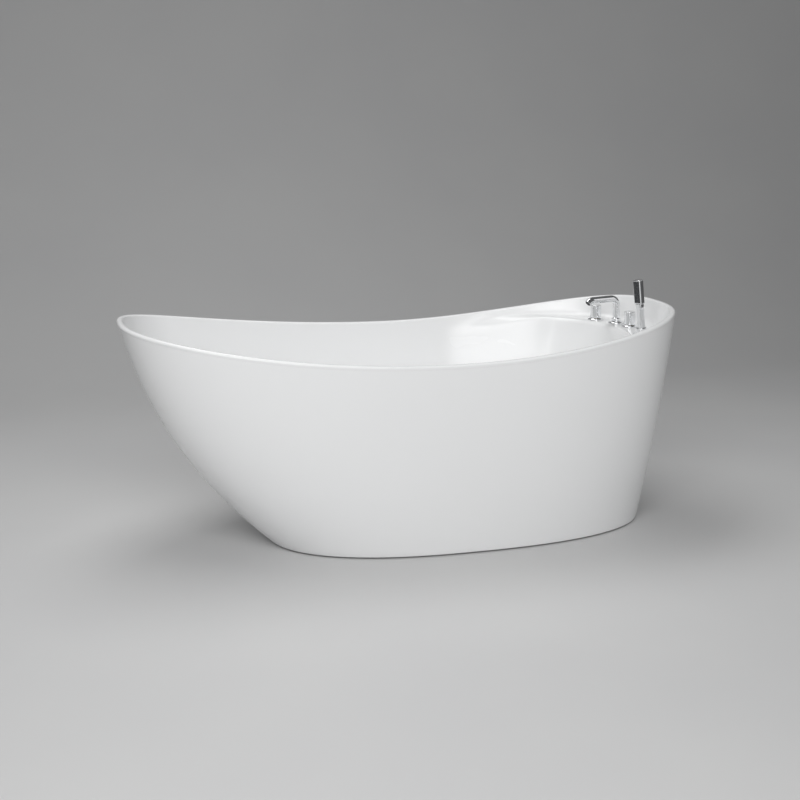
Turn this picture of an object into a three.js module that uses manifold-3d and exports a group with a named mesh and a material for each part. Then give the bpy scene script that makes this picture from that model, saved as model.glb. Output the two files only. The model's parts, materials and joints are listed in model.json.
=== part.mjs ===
// A freestanding slipper bath: an acrylic basin with a tap deck, a curved outer skirt, a steel support
// frame on levelling feet, a pop-up waste with overflow, and a four-piece deck-mounted filler.
// Millimetres, +Z up. The origin is on the ground, at the centre of the bath's length and width.
// +X points to the tap end, -X to the high head end.

import * as THREE from "three";
import { mergeVertices } from "three/addons/utils/BufferGeometryUtils.js";
import Module from "manifold-3d";

const wasm = await Module();
wasm.setup();

// ---------------------------------------------------------------- driving dimensions

const rim = {
  length: 1700,
  width: 800,
  height: 688, // at the head end, the highest place
  tapDrop: 3, // how much lower the tap end is
  sideDrop: 98, // how much lower the lowest place of the sides is
  lowestX: 48,
  tapSweep: 0.29, // how early the edge starts to rise towards the taps
  widestX: 135, // where the plan is widest
  roundness: 2.73, // exponent of the superellipse seen from above
  lipWidth: 17,
  lipDepth: 12,
  lipRound: 7,
};

// The outer wall runs from a base outline, set in from the rim's ends and sides, up to the rim.
const skirt = {
  baseHeadInset: 427,
  baseTapInset: 78,
  baseSideInset: 93,
  baseRoundness: 2.4,
  headBulge: 0.7, // share by which the outer wall bows outwards
  headBulgeSkew: 0.11,
  tapBulge: 0.31,
  sideBulge: 0.36,
  wall: 5,
  lift: 4, // gap between the skirt's lower edge and the ground
  edgeRound: 5,
};

// The well's walls run from a foot outline at floor height, set in likewise, up to the rim or the deck.
const basin = {
  wall: 6,
  floorHeight: 130,
  footHeadInset: 420,
  footTapInset: 195,
  footSideInset: 160,
  footRoundness: 2.6,
  dish: 8, // exponent of the curve between floor and walls: larger is squarer
  headBulge: 0.7,
  tapBulge: 0.2,
  sideBulge: 0.36,
};

const deck = {
  drop: 85, // below the tap end of the rim
  depth: 118, // from its lip to the wall behind it, along the bath's middle
  lipCentreInset: 420, // from the tap end to the centre of the lip's curve
  lipSideInset: 105,
  lipRoundness: 2.4,
  wallDraft: 12, // how much further in the wall stands at the deck than at the rim
  fadeStartInset: 600, // the deck grows out of the side wall between these two places
  fadeEndInset: 250,
  lipLevel: 0.88, // heights at which the lip and the cove fade into the side wall
  coveLevel: 0.94,
  lipRound: 16,
  coveRound: 20,
};

const frame = {
  tube: 30,
  tubeWall: 2,
  railInset: 137, // from the sides of the skirt's base outline
  headInset: 163, // from its head end
  tapInset: 252, // from its tap end
  middleGap: 200, // from the middle cross member to the waste
  overhang: 40, // length of rail past the outer cross members
  boardThickness: 16,
  boardMargin: 30, // how far the board reaches past the rails and the outer cross members
  boardCorner: 60,
  boardClearance: 12, // around the seat of the waste
};

const foot = {
  padRadius: 22,
  padHeight: 12,
  padChamfer: 3,
  studRadius: 6,
  nutWidth: 19,
  nutHeight: 10,
  studHoleClearance: 1.2,
};

const bracket = { width: 40, thickness: 3, tabHeight: 28, reachClearance: 0.3 };

const waste = {
  tapInset: 520, // from the tap end
  tailRadius: 25,
  tailWall: 4,
  tailLength: 58,
  holeClearance: 1, // around the tail
  flangeOverlap: 11, // how far the flange reaches past the tail
  flangeThickness: 3,
  flangeBevel: 2,
  seatMargin: 6, // flat floor around the flange
  spokeWidth: 5,
  spokeHeight: 6,
  spokeDrop: 16, // below the top of the flange
  hubRadius: 9,
  hubDepth: 4,
  sealThickness: 3,
};

const plug = {
  overlap: 10, // how far the plug reaches past the bore of the waste
  thickness: 5,
  edge: 1,
  dome: 2,
  stemRadius: 5,
  stemLength: 42,
  sealThickness: 4,
  sealClearance: 2,
};

const tee = {
  gap: 8, // from the tail of the waste to the tee's outside
  mouthInset: 3, // the tee's lower mouth is this much narrower than the tail
  spigotWall: 5,
  step: 4,
  collar: 3,
  collarHeight: 4,
  collarTaper: 2,
  tailGap: 3,
  tailTaper: 9,
  sump: 19, // from the overflow inlet's axis down to the mouth
  inletWall: 3.5,
  inletReach: 14,
};

const trap = {
  radius: 46,
  wall: 3,
  groundGap: 8,
  corner: 5,
  shoulder: 3,
  outletRise: 19, // from the trap's underside to the outlet's axis
  outletBore: 12.5,
  socketWall: 3,
  socketReach: 16,
  pipeWall: 2.5,
  pipeGap: 4, // from the trap's side to the end of the outlet pipe
  pipeReach: 165,
};

const overflow = {
  drop: 80, // below the deck
  holeRadius: 20,
  coverRadius: 34,
  coverThickness: 9,
  coverWall: 2,
  coverPlate: 3,
  coverBevel: 2,
  postRadius: 3,
  gapToWall: 5, // the slot under the cover that lets the water in
  neckClearance: 2,
  neckWall: 4,
  neckInset: 1,
  gasketWidth: 10,
  gasketThickness: 3,
  gasketGap: 1, // the wall behind the overflow is slightly curved
  bodyRadius: 26,
  bodyDepth: 21,
  bodyWall: 3,
  bodyStep: 1,
  spigotReach: 14,
  spigotWall: 2,
  pipeRadius: 14,
  pipeWall: 2,
  pipeGap: 2,
  pipeClearance: 2.4, // below the frame
  pipeBend: 60,
};

const filler = {
  tipSetback: 34, // the four pieces stand on an arc that clears the tip of the deck's lip by this much,
  sideSetback: 12, // and its sides by this much, both measured from the edges of the nuts
  flowAngle: 31.3,
  spoutAngle: 15.4,
  diverterAngle: 2,
  handsetAngle: -26.9,
  neckRadius: 14,
  neckClearance: 3,
  flangeRadius: 26,
  flangeHeight: 6,
  flangeBevel: 3,
  flangeEdge: 1,
  nutOverlap: 5, // how far nuts and washers reach past the hole
  nutHeight: 8,
  washerHeight: 3,
};

const knob = {
  radius: 18,
  height: 42,
  lift: 1, // running gap above the flange
  grooveDepth: 1.2,
  grooveDrop: 8,
  grooveHeight: 1.6,
  edge: 1,
  stemRadius: 6,
  stemLength: 28,
  stemGap: 1,
};

const valve = {
  nutGap: 7.4, // from the nut to the body
  bodyRadius: 20,
  bodyHeight: 63,
  bevel: 3,
  neckDrop: 1, // from the top of the flange down to the top of the neck
  portRadius: 10,
  portLength: 8,
};

const link = {
  radius: 7.5,
  wall: 1.2,
  mixedRise: 14, // from the valve's underside to the axis of each pipe
  spoutRise: 46,
};

const spout = {
  radius: 11,
  wall: 2,
  rise: 82, // height of the level run's axis above the deck
  bend: 26,
  reach: 120,
  outletTurn: 40, // degrees by which the end turns down
  tipLength: 14,
  collarRadius: 14,
  collarHeight: 12,
  collarBevel: 2,
  collarStep: 0.5,
  shankRadius: 12,
  shankBore: 8,
  shankDepth: 49,
  shankDrop: 0.5,
  aeratorLength: 4.5,
  aeratorProud: 0.8,
  aeratorGap: 0.8,
};

const handset = {
  lean: 6.7, // degrees towards the head end
  faceTurn: 205, // direction in which the spray face looks, seen from above
  collarRadius: 16,
  collarHeight: 18,
  boreRadius: 11.5,
  guideClearance: 0.5,
  guideDepth: 34,
  connectorClearance: 1,
  connectorDepth: 24,
  handleWidth: 23,
  handleThickness: 19,
  handleLength: 75,
  headWidth: 29,
  headThickness: 20,
  headLength: 74,
  faceInset: 3.5,
  faceDepth: 2.5,
  corner: 6,
};

const fit = {
  rest: 0.3, // between faces that touch
  running: 0.4, // around what turns or slides
};

const RINGS = 60; // steps around the bath
const TURNED = 20; // steps around a visible turned piece
const HIDDEN = 12; // steps around a hidden turned piece
const STUD_SIDES = 8;
const PAST = 5; // how far a cutting tool runs past the faces that it cuts
const INTO = 1; // how far the parts of one solid run into each other

// ---------------------------------------------------------------- places that follow from them

const headEnd = -rim.length / 2;
const tapEnd = rim.length / 2;
const sideEnd = rim.width / 2;
const tapHeight = rim.height - rim.tapDrop;
const lowestHeight = rim.height - rim.sideDrop;

const base = {
  headX: headEnd + skirt.baseHeadInset,
  tapX: tapEnd - skirt.baseTapInset,
  halfWidth: sideEnd - skirt.baseSideInset,
};

const deckHeight = tapHeight - deck.drop;
const deckUnder = deckHeight - basin.wall;
const lipCentreX = tapEnd - deck.lipCentreInset;
const lipReach = tapEnd - rim.lipWidth - deck.wallDraft - deck.depth - lipCentreX;
const lipHalfWidth = sideEnd - deck.lipSideInset;
const flangeBottom = deckHeight + fit.rest;
const flangeTop = flangeBottom + filler.flangeHeight;
const fillerHole = filler.neckRadius + filler.neckClearance;
const fillerNut = fillerHole + filler.nutOverlap;

const wasteX = tapEnd - waste.tapInset;
const wasteHole = waste.tailRadius + waste.holeClearance;
const wasteFlange = waste.tailRadius + waste.flangeOverlap;
const wasteSeat = wasteFlange + waste.seatMargin;
const wasteBore = waste.tailRadius - waste.tailWall;
const tailBottom = basin.floorHeight - waste.tailLength;

const boardTop = basin.floorHeight - basin.wall - fit.rest;
const boardBottom = boardTop - frame.boardThickness;
const railTop = boardBottom - fit.rest;
const railBottom = railTop - frame.tube;
const railY = base.halfWidth - frame.railInset;
const crossHeadX = base.headX + frame.headInset;
const crossMiddleX = wasteX - frame.middleGap;
const crossTapX = base.tapX - frame.tapInset;

const pipeHeight = railBottom - overflow.pipeClearance - overflow.pipeRadius;
const teeRadius = waste.tailRadius + tee.gap;
const teeMouth = waste.tailRadius - tee.mouthInset;
const teeBottom = pipeHeight - tee.sump;

const valveTop = deckUnder - 2 * fit.rest - filler.washerHeight - filler.nutHeight - valve.nutGap;
const valveBottom = valveTop - valve.bodyHeight;

// ---------------------------------------------------------------- materials

function finish(color, roughness, metalness) {
  return new THREE.MeshStandardMaterial({ color, roughness, metalness });
}

const acrylic = finish(0xf4f5f5, 0.12, 0);
const laminate = finish(0xe6e4da, 0.7, 0);
const chrome = finish(0xd9dcdf, 0.08, 1);
const darkFace = finish(0x1d1f22, 0.35, 0);
const steel = finish(0x9aa0a5, 0.45, 0.9);
const brass = finish(0xc2a15a, 0.35, 0.9);
const rubber = finish(0x242424, 0.85, 0);
const plastic = finish(0xececea, 0.5, 0);
const copper = finish(0xb87446, 0.35, 0.9);

// ---------------------------------------------------------------- solids

function toSolid(geometry) {
  const bare = geometry.clone();
  bare.deleteAttribute("normal");
  bare.deleteAttribute("uv");
  const merged = mergeVertices(bare, 1e-4);
  const made = new wasm.Manifold(
    new wasm.Mesh({
      numProp: 3,
      vertProperties: new Float32Array(merged.attributes.position.array),
      triVerts: new Uint32Array(merged.index.array),
    }),
  );
  return made;
}

function toGeometry(solid) {
  const mesh = solid.getMesh();
  const geometry = new THREE.BufferGeometry();
  geometry.setAttribute("position", new THREE.BufferAttribute(mesh.vertProperties, 3));
  geometry.setIndex(new THREE.BufferAttribute(mesh.triVerts, 1));
  return geometry;
}

function join(...geometries) {
  return toGeometry(geometries.map(toSolid).reduce((a, b) => a.add(b)));
}

function cut(geometry, ...tools) {
  return toGeometry(tools.map(toSolid).reduce((a, b) => a.subtract(b), toSolid(geometry)));
}

// A solid of revolution about Z. The profile is a list of [radius, z] corners of its closed outline.
function turned(profile, steps = TURNED) {
  const closed = [...profile, profile[0]];
  let area = 0;
  for (let i = 0; i < profile.length; i++) {
    area += closed[i][0] * closed[i + 1][1] - closed[i + 1][0] * closed[i][1];
  }
  if (area < 0) closed.reverse();
  const points = closed.map(([r, z]) => new THREE.Vector2(r, z));
  return new THREE.LatheGeometry(points, steps).rotateX(Math.PI / 2);
}

function disc(radius, bottom, top, steps = TURNED) {
  return turned([[0, bottom], [radius, bottom], [radius, top], [0, top]], steps);
}

// A flat ring. The flats of its many-sided bore, not the corners, stand at the inner radius.
function ring(innerRadius, outer, bottom, top, steps = TURNED) {
  const inner = innerRadius / Math.cos(Math.PI / steps);
  return turned([[inner, bottom], [outer, bottom], [outer, top], [inner, top]], steps);
}

// The tool for a round hole, whose flats stand at the given radius.
function drill(radius, bottom, top, steps = TURNED) {
  return disc(radius / Math.cos(Math.PI / steps), bottom, top, steps);
}

function box(size, centre) {
  return new THREE.BoxGeometry(...size).translate(...centre);
}

function circle(radius, steps) {
  const shape = new THREE.Shape();
  for (let i = 0; i < steps; i++) {
    const angle = (i / steps) * 2 * Math.PI;
    const [x, y] = [radius * Math.cos(angle), radius * Math.sin(angle)];
    if (i) shape.lineTo(x, y);
    else shape.moveTo(x, y);
  }
  return shape;
}

// A round pipe along a curve, open through its bore.
function pipe(curve, radius, wall, steps, sides = 12) {
  const sweep = (r) =>
    new THREE.ExtrudeGeometry(circle(r, sides), { steps, extrudePath: curve, bevelEnabled: false });
  return cut(sweep(radius), stretchEnds(sweep(radius - wall), curve, radius));
}

// Pushes the end faces of a swept core out a little, so that it cuts right through its pipe.
function stretchEnds(geometry, curve, radius) {
  const flat = 0.01;
  const places = geometry.attributes.position;
  const point = new THREE.Vector3();
  for (const [u, way] of [[0, -1], [1, 1]]) {
    const end = curve.getPointAt(u);
    const out = curve.getTangentAt(u).multiplyScalar(way);
    for (let i = 0; i < places.count; i++) {
      point.fromBufferAttribute(places, i);
      const onEnd = Math.abs(point.clone().sub(end).dot(out)) < flat && point.distanceTo(end) < 2 * radius;
      if (!onEnd) continue;
      point.add(out);
      places.setXYZ(i, point.x, point.y, point.z);
    }
  }
  return geometry;
}

// A path of straight runs through the corner points, with round bends of one radius.
function bentPath(corners, bend) {
  const path = new THREE.CurvePath();
  let from = corners[0];
  for (let i = 1; i < corners.length - 1; i++) {
    const back = corners[i - 1].clone().sub(corners[i]).normalize();
    const on = corners[i + 1].clone().sub(corners[i]).normalize();
    const half = back.angleTo(on) / 2;
    const setback = bend / Math.tan(half);
    const start = corners[i].clone().addScaledVector(back, setback);
    const end = corners[i].clone().addScaledVector(on, setback);
    path.add(new THREE.LineCurve3(from, start));
    path.add(new THREE.QuadraticBezierCurve3(start, corners[i], end));
    from = end;
  }
  path.add(new THREE.LineCurve3(from, corners.at(-1)));
  return path;
}

function vector(x, y, z) {
  return new THREE.Vector3(x, y, z);
}

function mix(a, b, share) {
  return a.clone().lerp(b, share);
}

// ---------------------------------------------------------------- the bath's curved surfaces

function superellipse(angle, headAxis, tapAxis, halfWidth, roundness, centreX) {
  const along = Math.cos(angle);
  const across = Math.sin(angle);
  const axis = along < 0 ? headAxis : tapAxis;
  const power = 2 / roundness;
  return [
    centreX + axis * Math.sign(along) * Math.abs(along) ** power,
    halfWidth * Math.sign(across) * Math.abs(across) ** power,
  ];
}

function rimPlan(angle, inset = 0) {
  const headAxis = rim.widestX - headEnd - inset;
  const tapAxis = tapEnd - rim.widestX - inset;
  return superellipse(angle, headAxis, tapAxis, sideEnd - inset, rim.roundness, rim.widestX);
}

function basePlan(angle, inset = 0) {
  const headAxis = rim.widestX - base.headX - inset;
  const tapAxis = base.tapX - rim.widestX - inset;
  const halfWidth = base.halfWidth - inset;
  return superellipse(angle, headAxis, tapAxis, halfWidth, skirt.baseRoundness, rim.widestX);
}

function rimHeight(angle) {
  const [x] = rimPlan(angle);
  const toHead = x < rim.lowestX;
  const end = toHead ? headEnd : tapEnd;
  const share = (x - rim.lowestX) / (end - rim.lowestX);
  const rise = (toHead ? rim.height : tapHeight) - lowestHeight;
  const sweep = toHead ? 0 : rim.tapSweep;
  return lowestHeight + rise * share ** 2 * (1 + sweep * (1 - share));
}

function bowed(share, bulge, skew = 0) {
  return share + share * (1 - share) * (bulge + skew * (1 - 2 * share));
}

function mixNumber(a, b, share) {
  return a + (b - a) * share;
}

function smoothStep(from, to, value) {
  const share = Math.min(1, Math.max(0, (value - from) / (to - from)));
  return share * share * (3 - 2 * share);
}

// A point of the outer wall at a height share between the ground (0) and the rim (1).
function outerPoint(angle, share, inset = 0) {
  const [baseX, baseY] = basePlan(angle, inset);
  const [rimX, rimY] = rimPlan(angle, inset);
  const headward = (1 - Math.cos(angle)) / 2;
  const headShare = bowed(share, skirt.headBulge, skirt.headBulgeSkew);
  const alongShare = mixNumber(bowed(share, skirt.tapBulge), headShare, headward);
  const x = mixNumber(baseX, rimX, alongShare);
  const y = mixNumber(baseY, rimY, bowed(share, skirt.sideBulge));
  return vector(x, y, share * rimHeight(angle));
}

function outerPointAtHeight(angle, height, inset = 0) {
  return outerPoint(angle, height / rimHeight(angle), inset);
}

// How far the deck has grown out of the side wall at this angle: 0 is plain wall, 1 is full deck.
function deckShare(angle) {
  return smoothStep(tapEnd - deck.fadeStartInset, tapEnd - deck.fadeEndInset, rimPlan(angle)[0]);
}

function rimEdgePoint(angle) {
  const [x, y] = rimPlan(angle, rim.lipWidth);
  return vector(x, y, rimHeight(angle) - rim.lipRound);
}

function footPoint(angle) {
  const centreX = rim.widestX;
  const headAxis = centreX - headEnd - basin.footHeadInset;
  const tapAxis = tapEnd - basin.footTapInset - centreX;
  const halfWidth = sideEnd - basin.footSideInset;
  const plan = superellipse(angle, headAxis, tapAxis, halfWidth, basin.footRoundness, centreX);
  return vector(...plan, basin.floorHeight);
}

function deckLipPoint(angle) {
  const plan = superellipse(angle, lipReach, lipReach, lipHalfWidth, deck.lipRoundness, lipCentreX);
  return vector(...plan, deckHeight);
}

function deckCornerPoint(angle) {
  return vector(...rimPlan(angle, rim.lipWidth + deck.wallDraft), deckHeight);
}

// A point on the straight wall that runs from the foot up to the given top point.
function wallPoint(foot, top, share, bulgeAlong, bulgeAcross) {
  return vector(
    mixNumber(foot.x, top.x, bowed(share, bulgeAlong)),
    mixNumber(foot.y, top.y, bowed(share, bulgeAcross)),
    mixNumber(foot.z, top.z, share),
  );
}

// The inside of the basin along one angle, from the waste hole up to the rim.
function insideProfile(angle, floorShares, wallShares, roundSteps) {
  const share = deckShare(angle);
  const headward = (1 - Math.cos(angle)) / 2;
  const along = mixNumber(basin.sideBulge, basin.headBulge, headward);
  const edge = rimEdgePoint(angle);
  const low = footPoint(angle);
  const side = (level) => wallPoint(low, edge, level, along, basin.sideBulge);
  const lip = mix(side(deck.lipLevel), deckLipPoint(angle), share);
  const cove = mix(side(deck.coveLevel), deckCornerPoint(angle), share);

  // The bulge of the shortened wall that ends at the lip, so that it follows the full side wall.
  const shorten = (bulge) => (bulge * deck.lipLevel) / (1 + bulge * (1 - deck.lipLevel));
  const wellAlong = mixNumber(shorten(along), basin.tapBulge, share);
  const wellAcross = mixNumber(shorten(basin.sideBulge), basin.tapBulge, share);
  const centre = vector(wasteX, 0, basin.floorHeight);
  const wellPoint = (out, up) => {
    const wall = wallPoint(low, lip, up, wellAlong, wellAcross);
    const flat = vector(centre.x, centre.y, wall.z);
    return mix(flat, wall, out);
  };

  const outward = low.clone().sub(centre).normalize();
  const rows = [wasteHole, wasteSeat].map((radius) => centre.clone().addScaledVector(outward, radius));
  const power = basin.dish;
  for (const out of floorShares) rows.push(wellPoint(out, 1 - (1 - out ** power) ** (1 / power)));
  for (const up of wallShares) rows.push(wellPoint((1 - (1 - up) ** power) ** (1 / power), up));
  rows.push(...rounded(rows.at(-1), lip, cove, deck.lipRound, roundSteps));
  rows.push(...rounded(lip, cove, edge, deck.coveRound, roundSteps));
  rows.push(edge);
  return rows;
}

// The points of a fillet at a corner. It takes up at most this share of the walls that meet there.
const FILLET_SHARE = 0.45;

function rounded(before, corner, after, radius, steps) {
  const shorter = Math.min(corner.distanceTo(before), corner.distanceTo(after));
  const size = Math.min(radius, FILLET_SHARE * shorter);
  const start = corner.clone().addScaledVector(before.clone().sub(corner).normalize(), size);
  const end = corner.clone().addScaledVector(after.clone().sub(corner).normalize(), size);
  return new THREE.QuadraticBezierCurve3(start, corner, end).getPoints(steps);
}

// The rolled lip, from its inner edge over the top and down to its outer lower edge.
function lipProfile(angle) {
  const height = rimHeight(angle);
  const round = rim.lipRound;
  const rows = [];
  const arcPoint = (inset, turn, side) => {
    const reach = inset + side * round * Math.cos(turn);
    const [x, y] = rimPlan(angle, reach);
    rows.push(vector(x, y, height - round + round * Math.sin(turn)));
  };
  for (const turn of [Math.PI / 4, Math.PI / 2]) arcPoint(rim.lipWidth - round, turn, 1);
  for (const turn of [Math.PI / 2, Math.PI / 4, 0]) arcPoint(round, turn, -1);
  rows.push(outerPointAtHeight(angle, height - rim.lipDepth));
  const [x, y] = rimPlan(angle, rim.lipWidth - basin.wall);
  rows.push(vector(x, y, height - rim.lipDepth));
  return rows;
}

// A closed skin from profiles that each close on themselves, one for each angle.
function closedSkin(profiles) {
  const rows = profiles[0].length;
  const around = profiles.length;
  const index = [];
  for (let i = 0; i < around; i++) {
    for (let j = 0; j < rows; j++) {
      const next = ((i + 1) % around) * rows;
      const up = (j + 1) % rows;
      const [a, b, c, d] = [i * rows + j, next + j, next + up, i * rows + up];
      index.push(a, b, c, a, c, d);
    }
  }
  const geometry = new THREE.BufferGeometry().setFromPoints(profiles.flat());
  geometry.setIndex(index);
  return geometry;
}

function angles(count) {
  return Array.from({ length: count }, (_, i) => (i / count) * 2 * Math.PI);
}

function basinSkin() {
  const floorShares = [0.6, 0.8, 0.91, 0.97];
  const wallShares = [0.32, 0.55, 0.8];
  const inside = angles(RINGS).map((angle) => insideProfile(angle, floorShares, wallShares, 2));
  const around = inside.length;
  const last = inside[0].length - 1;
  const profiles = inside.map((rows, i) => {
    const ahead = inside[(i + 1) % around];
    const behind = inside[(i + around - 1) % around];
    const under = [];
    for (let j = last - 1; j > 0; j--) {
      const along = ahead[j].clone().sub(behind[j]);
      const up = rows[j + 1].clone().sub(rows[j - 1]);
      const outward = along.cross(up).normalize();
      under.push(rows[j].clone().addScaledVector(outward, basin.wall));
    }
    under.push(rows[0].clone().add(vector(0, 0, -basin.wall)));
    return [...rows, ...lipProfile(angles(RINGS)[i]), ...under].reverse();
  });
  return closedSkin(profiles);
}

function skirtSkin() {
  const wallShares = [0.12, 0.28, 0.45, 0.62, 0.8];
  const profiles = angles(RINGS).map((angle) => {
    const top = rimHeight(angle) - rim.lipDepth - fit.rest;
    const bottom = skirt.lift;
    const heights = wallShares.map((share) => mixNumber(bottom, top, share));
    const outside = [
      outerPointAtHeight(angle, bottom, skirt.edgeRound / 2),
      ...[bottom + skirt.edgeRound, ...heights, top].map((z) => outerPointAtHeight(angle, z)),
    ];
    const inside = [top, ...heights.toReversed(), bottom].map((z) =>
      outerPointAtHeight(angle, z, skirt.wall),
    );
    return [...outside, ...inside];
  });
  return closedSkin(profiles);
}

// ---------------------------------------------------------------- the assembly

const model = new THREE.Group();

function place(group, name, geometry, material) {
  const mesh = new THREE.Mesh(geometry, material);
  mesh.name = name;
  group.add(mesh);
}

function groupAt(x, y, z = 0, turn = 0) {
  const group = new THREE.Group();
  group.position.set(x, y, z);
  group.rotation.z = turn;
  model.add(group);
  return group;
}

// The place of a fitting on the deck, and its direction from the centre of the lip's curve.
function deckSpot(degrees) {
  const angle = THREE.MathUtils.degToRad(degrees);
  const x = lipCentreX + (lipReach + filler.tipSetback + fillerNut) * Math.cos(angle);
  const y = (lipHalfWidth + filler.sideSetback + fillerNut) * Math.sin(angle);
  return [x, y, angle];
}

// The place of the overflow: the middle of the well's tap-end wall, and how far that wall leans.
function overflowSeat() {
  const wallShares = [0.5, 0.9];
  const [low, high] = insideProfile(0, [], wallShares, 2).slice(2, 4);
  const height = deckHeight - overflow.drop;
  const seat = mix(low, high, (height - low.z) / (high.z - low.z));
  const up = high.clone().sub(low).normalize();
  return { seat, lean: Math.atan2(up.x, up.z) };
}

function addBasin() {
  const depth = 3 * basin.wall;
  const spots = [filler.flowAngle, filler.spoutAngle, filler.diverterAngle, filler.handsetAngle];
  const tapHoles = spots.map((degrees) => {
    const [x, y] = deckSpot(degrees);
    return disc(fillerHole, -depth, depth).translate(x, y, deckHeight);
  });
  const { seat, lean } = overflowSeat();
  const bore = disc(overflow.holeRadius, -depth, depth);
  bore.rotateY(Math.PI / 2 + lean).translate(seat.x, seat.y, seat.z);
  place(model, "inner_basin", cut(basinSkin(), ...tapHoles, bore), acrylic);
}

function addFrame() {
  const { tube, tubeWall, overhang, boardMargin } = frame;
  const inner = tube - 2 * tubeWall;
  const railLength = crossTapX - crossHeadX + 2 * overhang;
  const railX = (crossTapX + crossHeadX) / 2;
  const railMiddle = (railTop + railBottom) / 2;
  const hole = foot.studRadius + foot.studHoleClearance;
  const studHole = (x, y) => disc(hole, railBottom - PAST, railTop + PAST, STUD_SIDES).translate(x, y, 0);
  for (const [name, side] of [["near", -1], ["far", 1]]) {
    const y = side * railY;
    const rail = box([railLength, tube, tube], [railX, y, railMiddle]);
    const hollow = box([railLength + 2 * PAST, inner, inner], [railX, y, railMiddle]);
    const holes = [studHole(crossHeadX, y), studHole(crossTapX, y)];
    place(model, `frame_rail_${name}`, cut(rail, hollow, ...holes), steel);
  }
  const crossLength = 2 * railY - tube - 2 * fit.rest;
  for (const [name, x] of [["head", crossHeadX], ["middle", crossMiddleX], ["tap", crossTapX]]) {
    const cross = box([tube, crossLength, tube], [x, 0, railMiddle]);
    const hollow = box([inner, crossLength + 2 * PAST, inner], [x, 0, railMiddle]);
    const holes = name === "middle" ? [studHole(x, 0)] : [];
    place(model, `frame_cross_${name}`, cut(cross, hollow, ...holes), steel);
  }
  const length = crossTapX - crossHeadX + 2 * boardMargin;
  const width = 2 * railY + tube + 2 * boardMargin;
  const board = roundedSlab(length, width, frame.boardCorner, frame.boardThickness);
  board.translate(railX, 0, boardBottom);
  const opening = disc(wasteSeat + frame.boardClearance, boardBottom - PAST, boardTop + PAST);
  place(model, "base_board", cut(board, opening.translate(wasteX, 0, 0)), laminate);
}

function roundedRectangle(length, width, corner, steps) {
  const shape = new THREE.Shape();
  const [x, y] = [length / 2 - corner, width / 2 - corner];
  const corners = [[x, y, 0], [-x, y, 1], [-x, -y, 2], [x, -y, 3]];
  const points = corners.flatMap(([cx, cy, quarter]) =>
    Array.from({ length: steps + 1 }, (_, i) => {
      const angle = ((quarter + i / steps) * Math.PI) / 2;
      return new THREE.Vector2(cx + corner * Math.cos(angle), cy + corner * Math.sin(angle));
    }),
  );
  return shape.setFromPoints(points);
}

function roundedSlab(length, width, corner, thickness, steps = 5) {
  const outline = roundedRectangle(length, width, corner, steps);
  return new THREE.ExtrudeGeometry(outline, { depth: thickness, bevelEnabled: false });
}

function footPad() {
  const { padRadius, padHeight, padChamfer, studRadius } = foot;
  const socketBottom = padHeight / 2;
  return turned([
    [0, 0],
    [padRadius - padChamfer / 2, 0],
    [padRadius, padChamfer / 2],
    [padRadius, padHeight - padChamfer],
    [padRadius - padChamfer, padHeight],
    [studRadius + fit.rest, padHeight],
    [studRadius + fit.rest, socketBottom],
    [0, socketBottom],
  ], HIDDEN);
}

// A hexagon nut around a bore whose flats stand at the given radius.
function hexNut(acrossFlats, height, top, boreRadius, sides) {
  const corner = acrossFlats / 2 / Math.cos(Math.PI / 6);
  const bore = drill(boreRadius, top - height - PAST, top + PAST, sides);
  return cut(disc(corner, top - height, top, 6), bore);
}

function addFeet() {
  const places = [
    ["head_near", crossHeadX, -railY],
    ["head_far", crossHeadX, railY],
    ["middle", crossMiddleX, 0],
    ["tap_near", crossTapX, -railY],
    ["tap_far", crossTapX, railY],
  ];
  const studBottom = foot.padHeight / 2 + fit.rest;
  const stud = disc(foot.studRadius, studBottom, railTop - fit.rest, STUD_SIDES);
  const nutTop = railBottom - fit.rest;
  const nut = hexNut(foot.nutWidth, foot.nutHeight, nutTop, foot.studRadius + fit.rest, STUD_SIDES);
  for (const [name, x, y] of places) {
    const group = groupAt(x, y);
    place(group, `foot_pad_${name}`, footPad(), rubber);
    place(group, `foot_stud_${name}`, stud, steel);
    place(group, `foot_nut_${name}`, nut, steel);
  }
}

// How far out the skirt's inner wall stands at the given X and height, on its flat facets.
function innerWallY(x, height) {
  const points = angles(RINGS).map((angle) => outerPointAtHeight(angle, height, skirt.wall));
  const next = points.findIndex((point) => point.x < x);
  const [a, b] = [points[next - 1], points[next]];
  return mixNumber(a.y, b.y, (a.x - x) / (a.x - b.x));
}

// Angle brackets that tie the skirt's lower wall to the rails.
function addBrackets() {
  const { width, thickness, tabHeight, reachClearance } = bracket;
  const x = crossMiddleX;
  const strapTop = railBottom - fit.rest;
  const strapZ = strapTop - thickness / 2;
  const tabBottom = strapTop - tabHeight;
  const wallY = Math.min(innerWallY(x - width / 2, tabBottom), innerWallY(x + width / 2, tabBottom));
  const inner = railY - frame.tube / 2;
  const outer = wallY - reachClearance;
  for (const [side, way] of [["near", -1], ["far", 1]]) {
    const strap = box([width, outer - inner, thickness], [x, (way * (outer + inner)) / 2, strapZ]);
    const tabMiddle = strapTop - tabHeight / 2;
    const tab = box([width, thickness, tabHeight], [x, way * (outer - thickness / 2), tabMiddle]);
    place(model, `skirt_bracket_${side}`, join(strap, tab), steel);
  }
}

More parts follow.
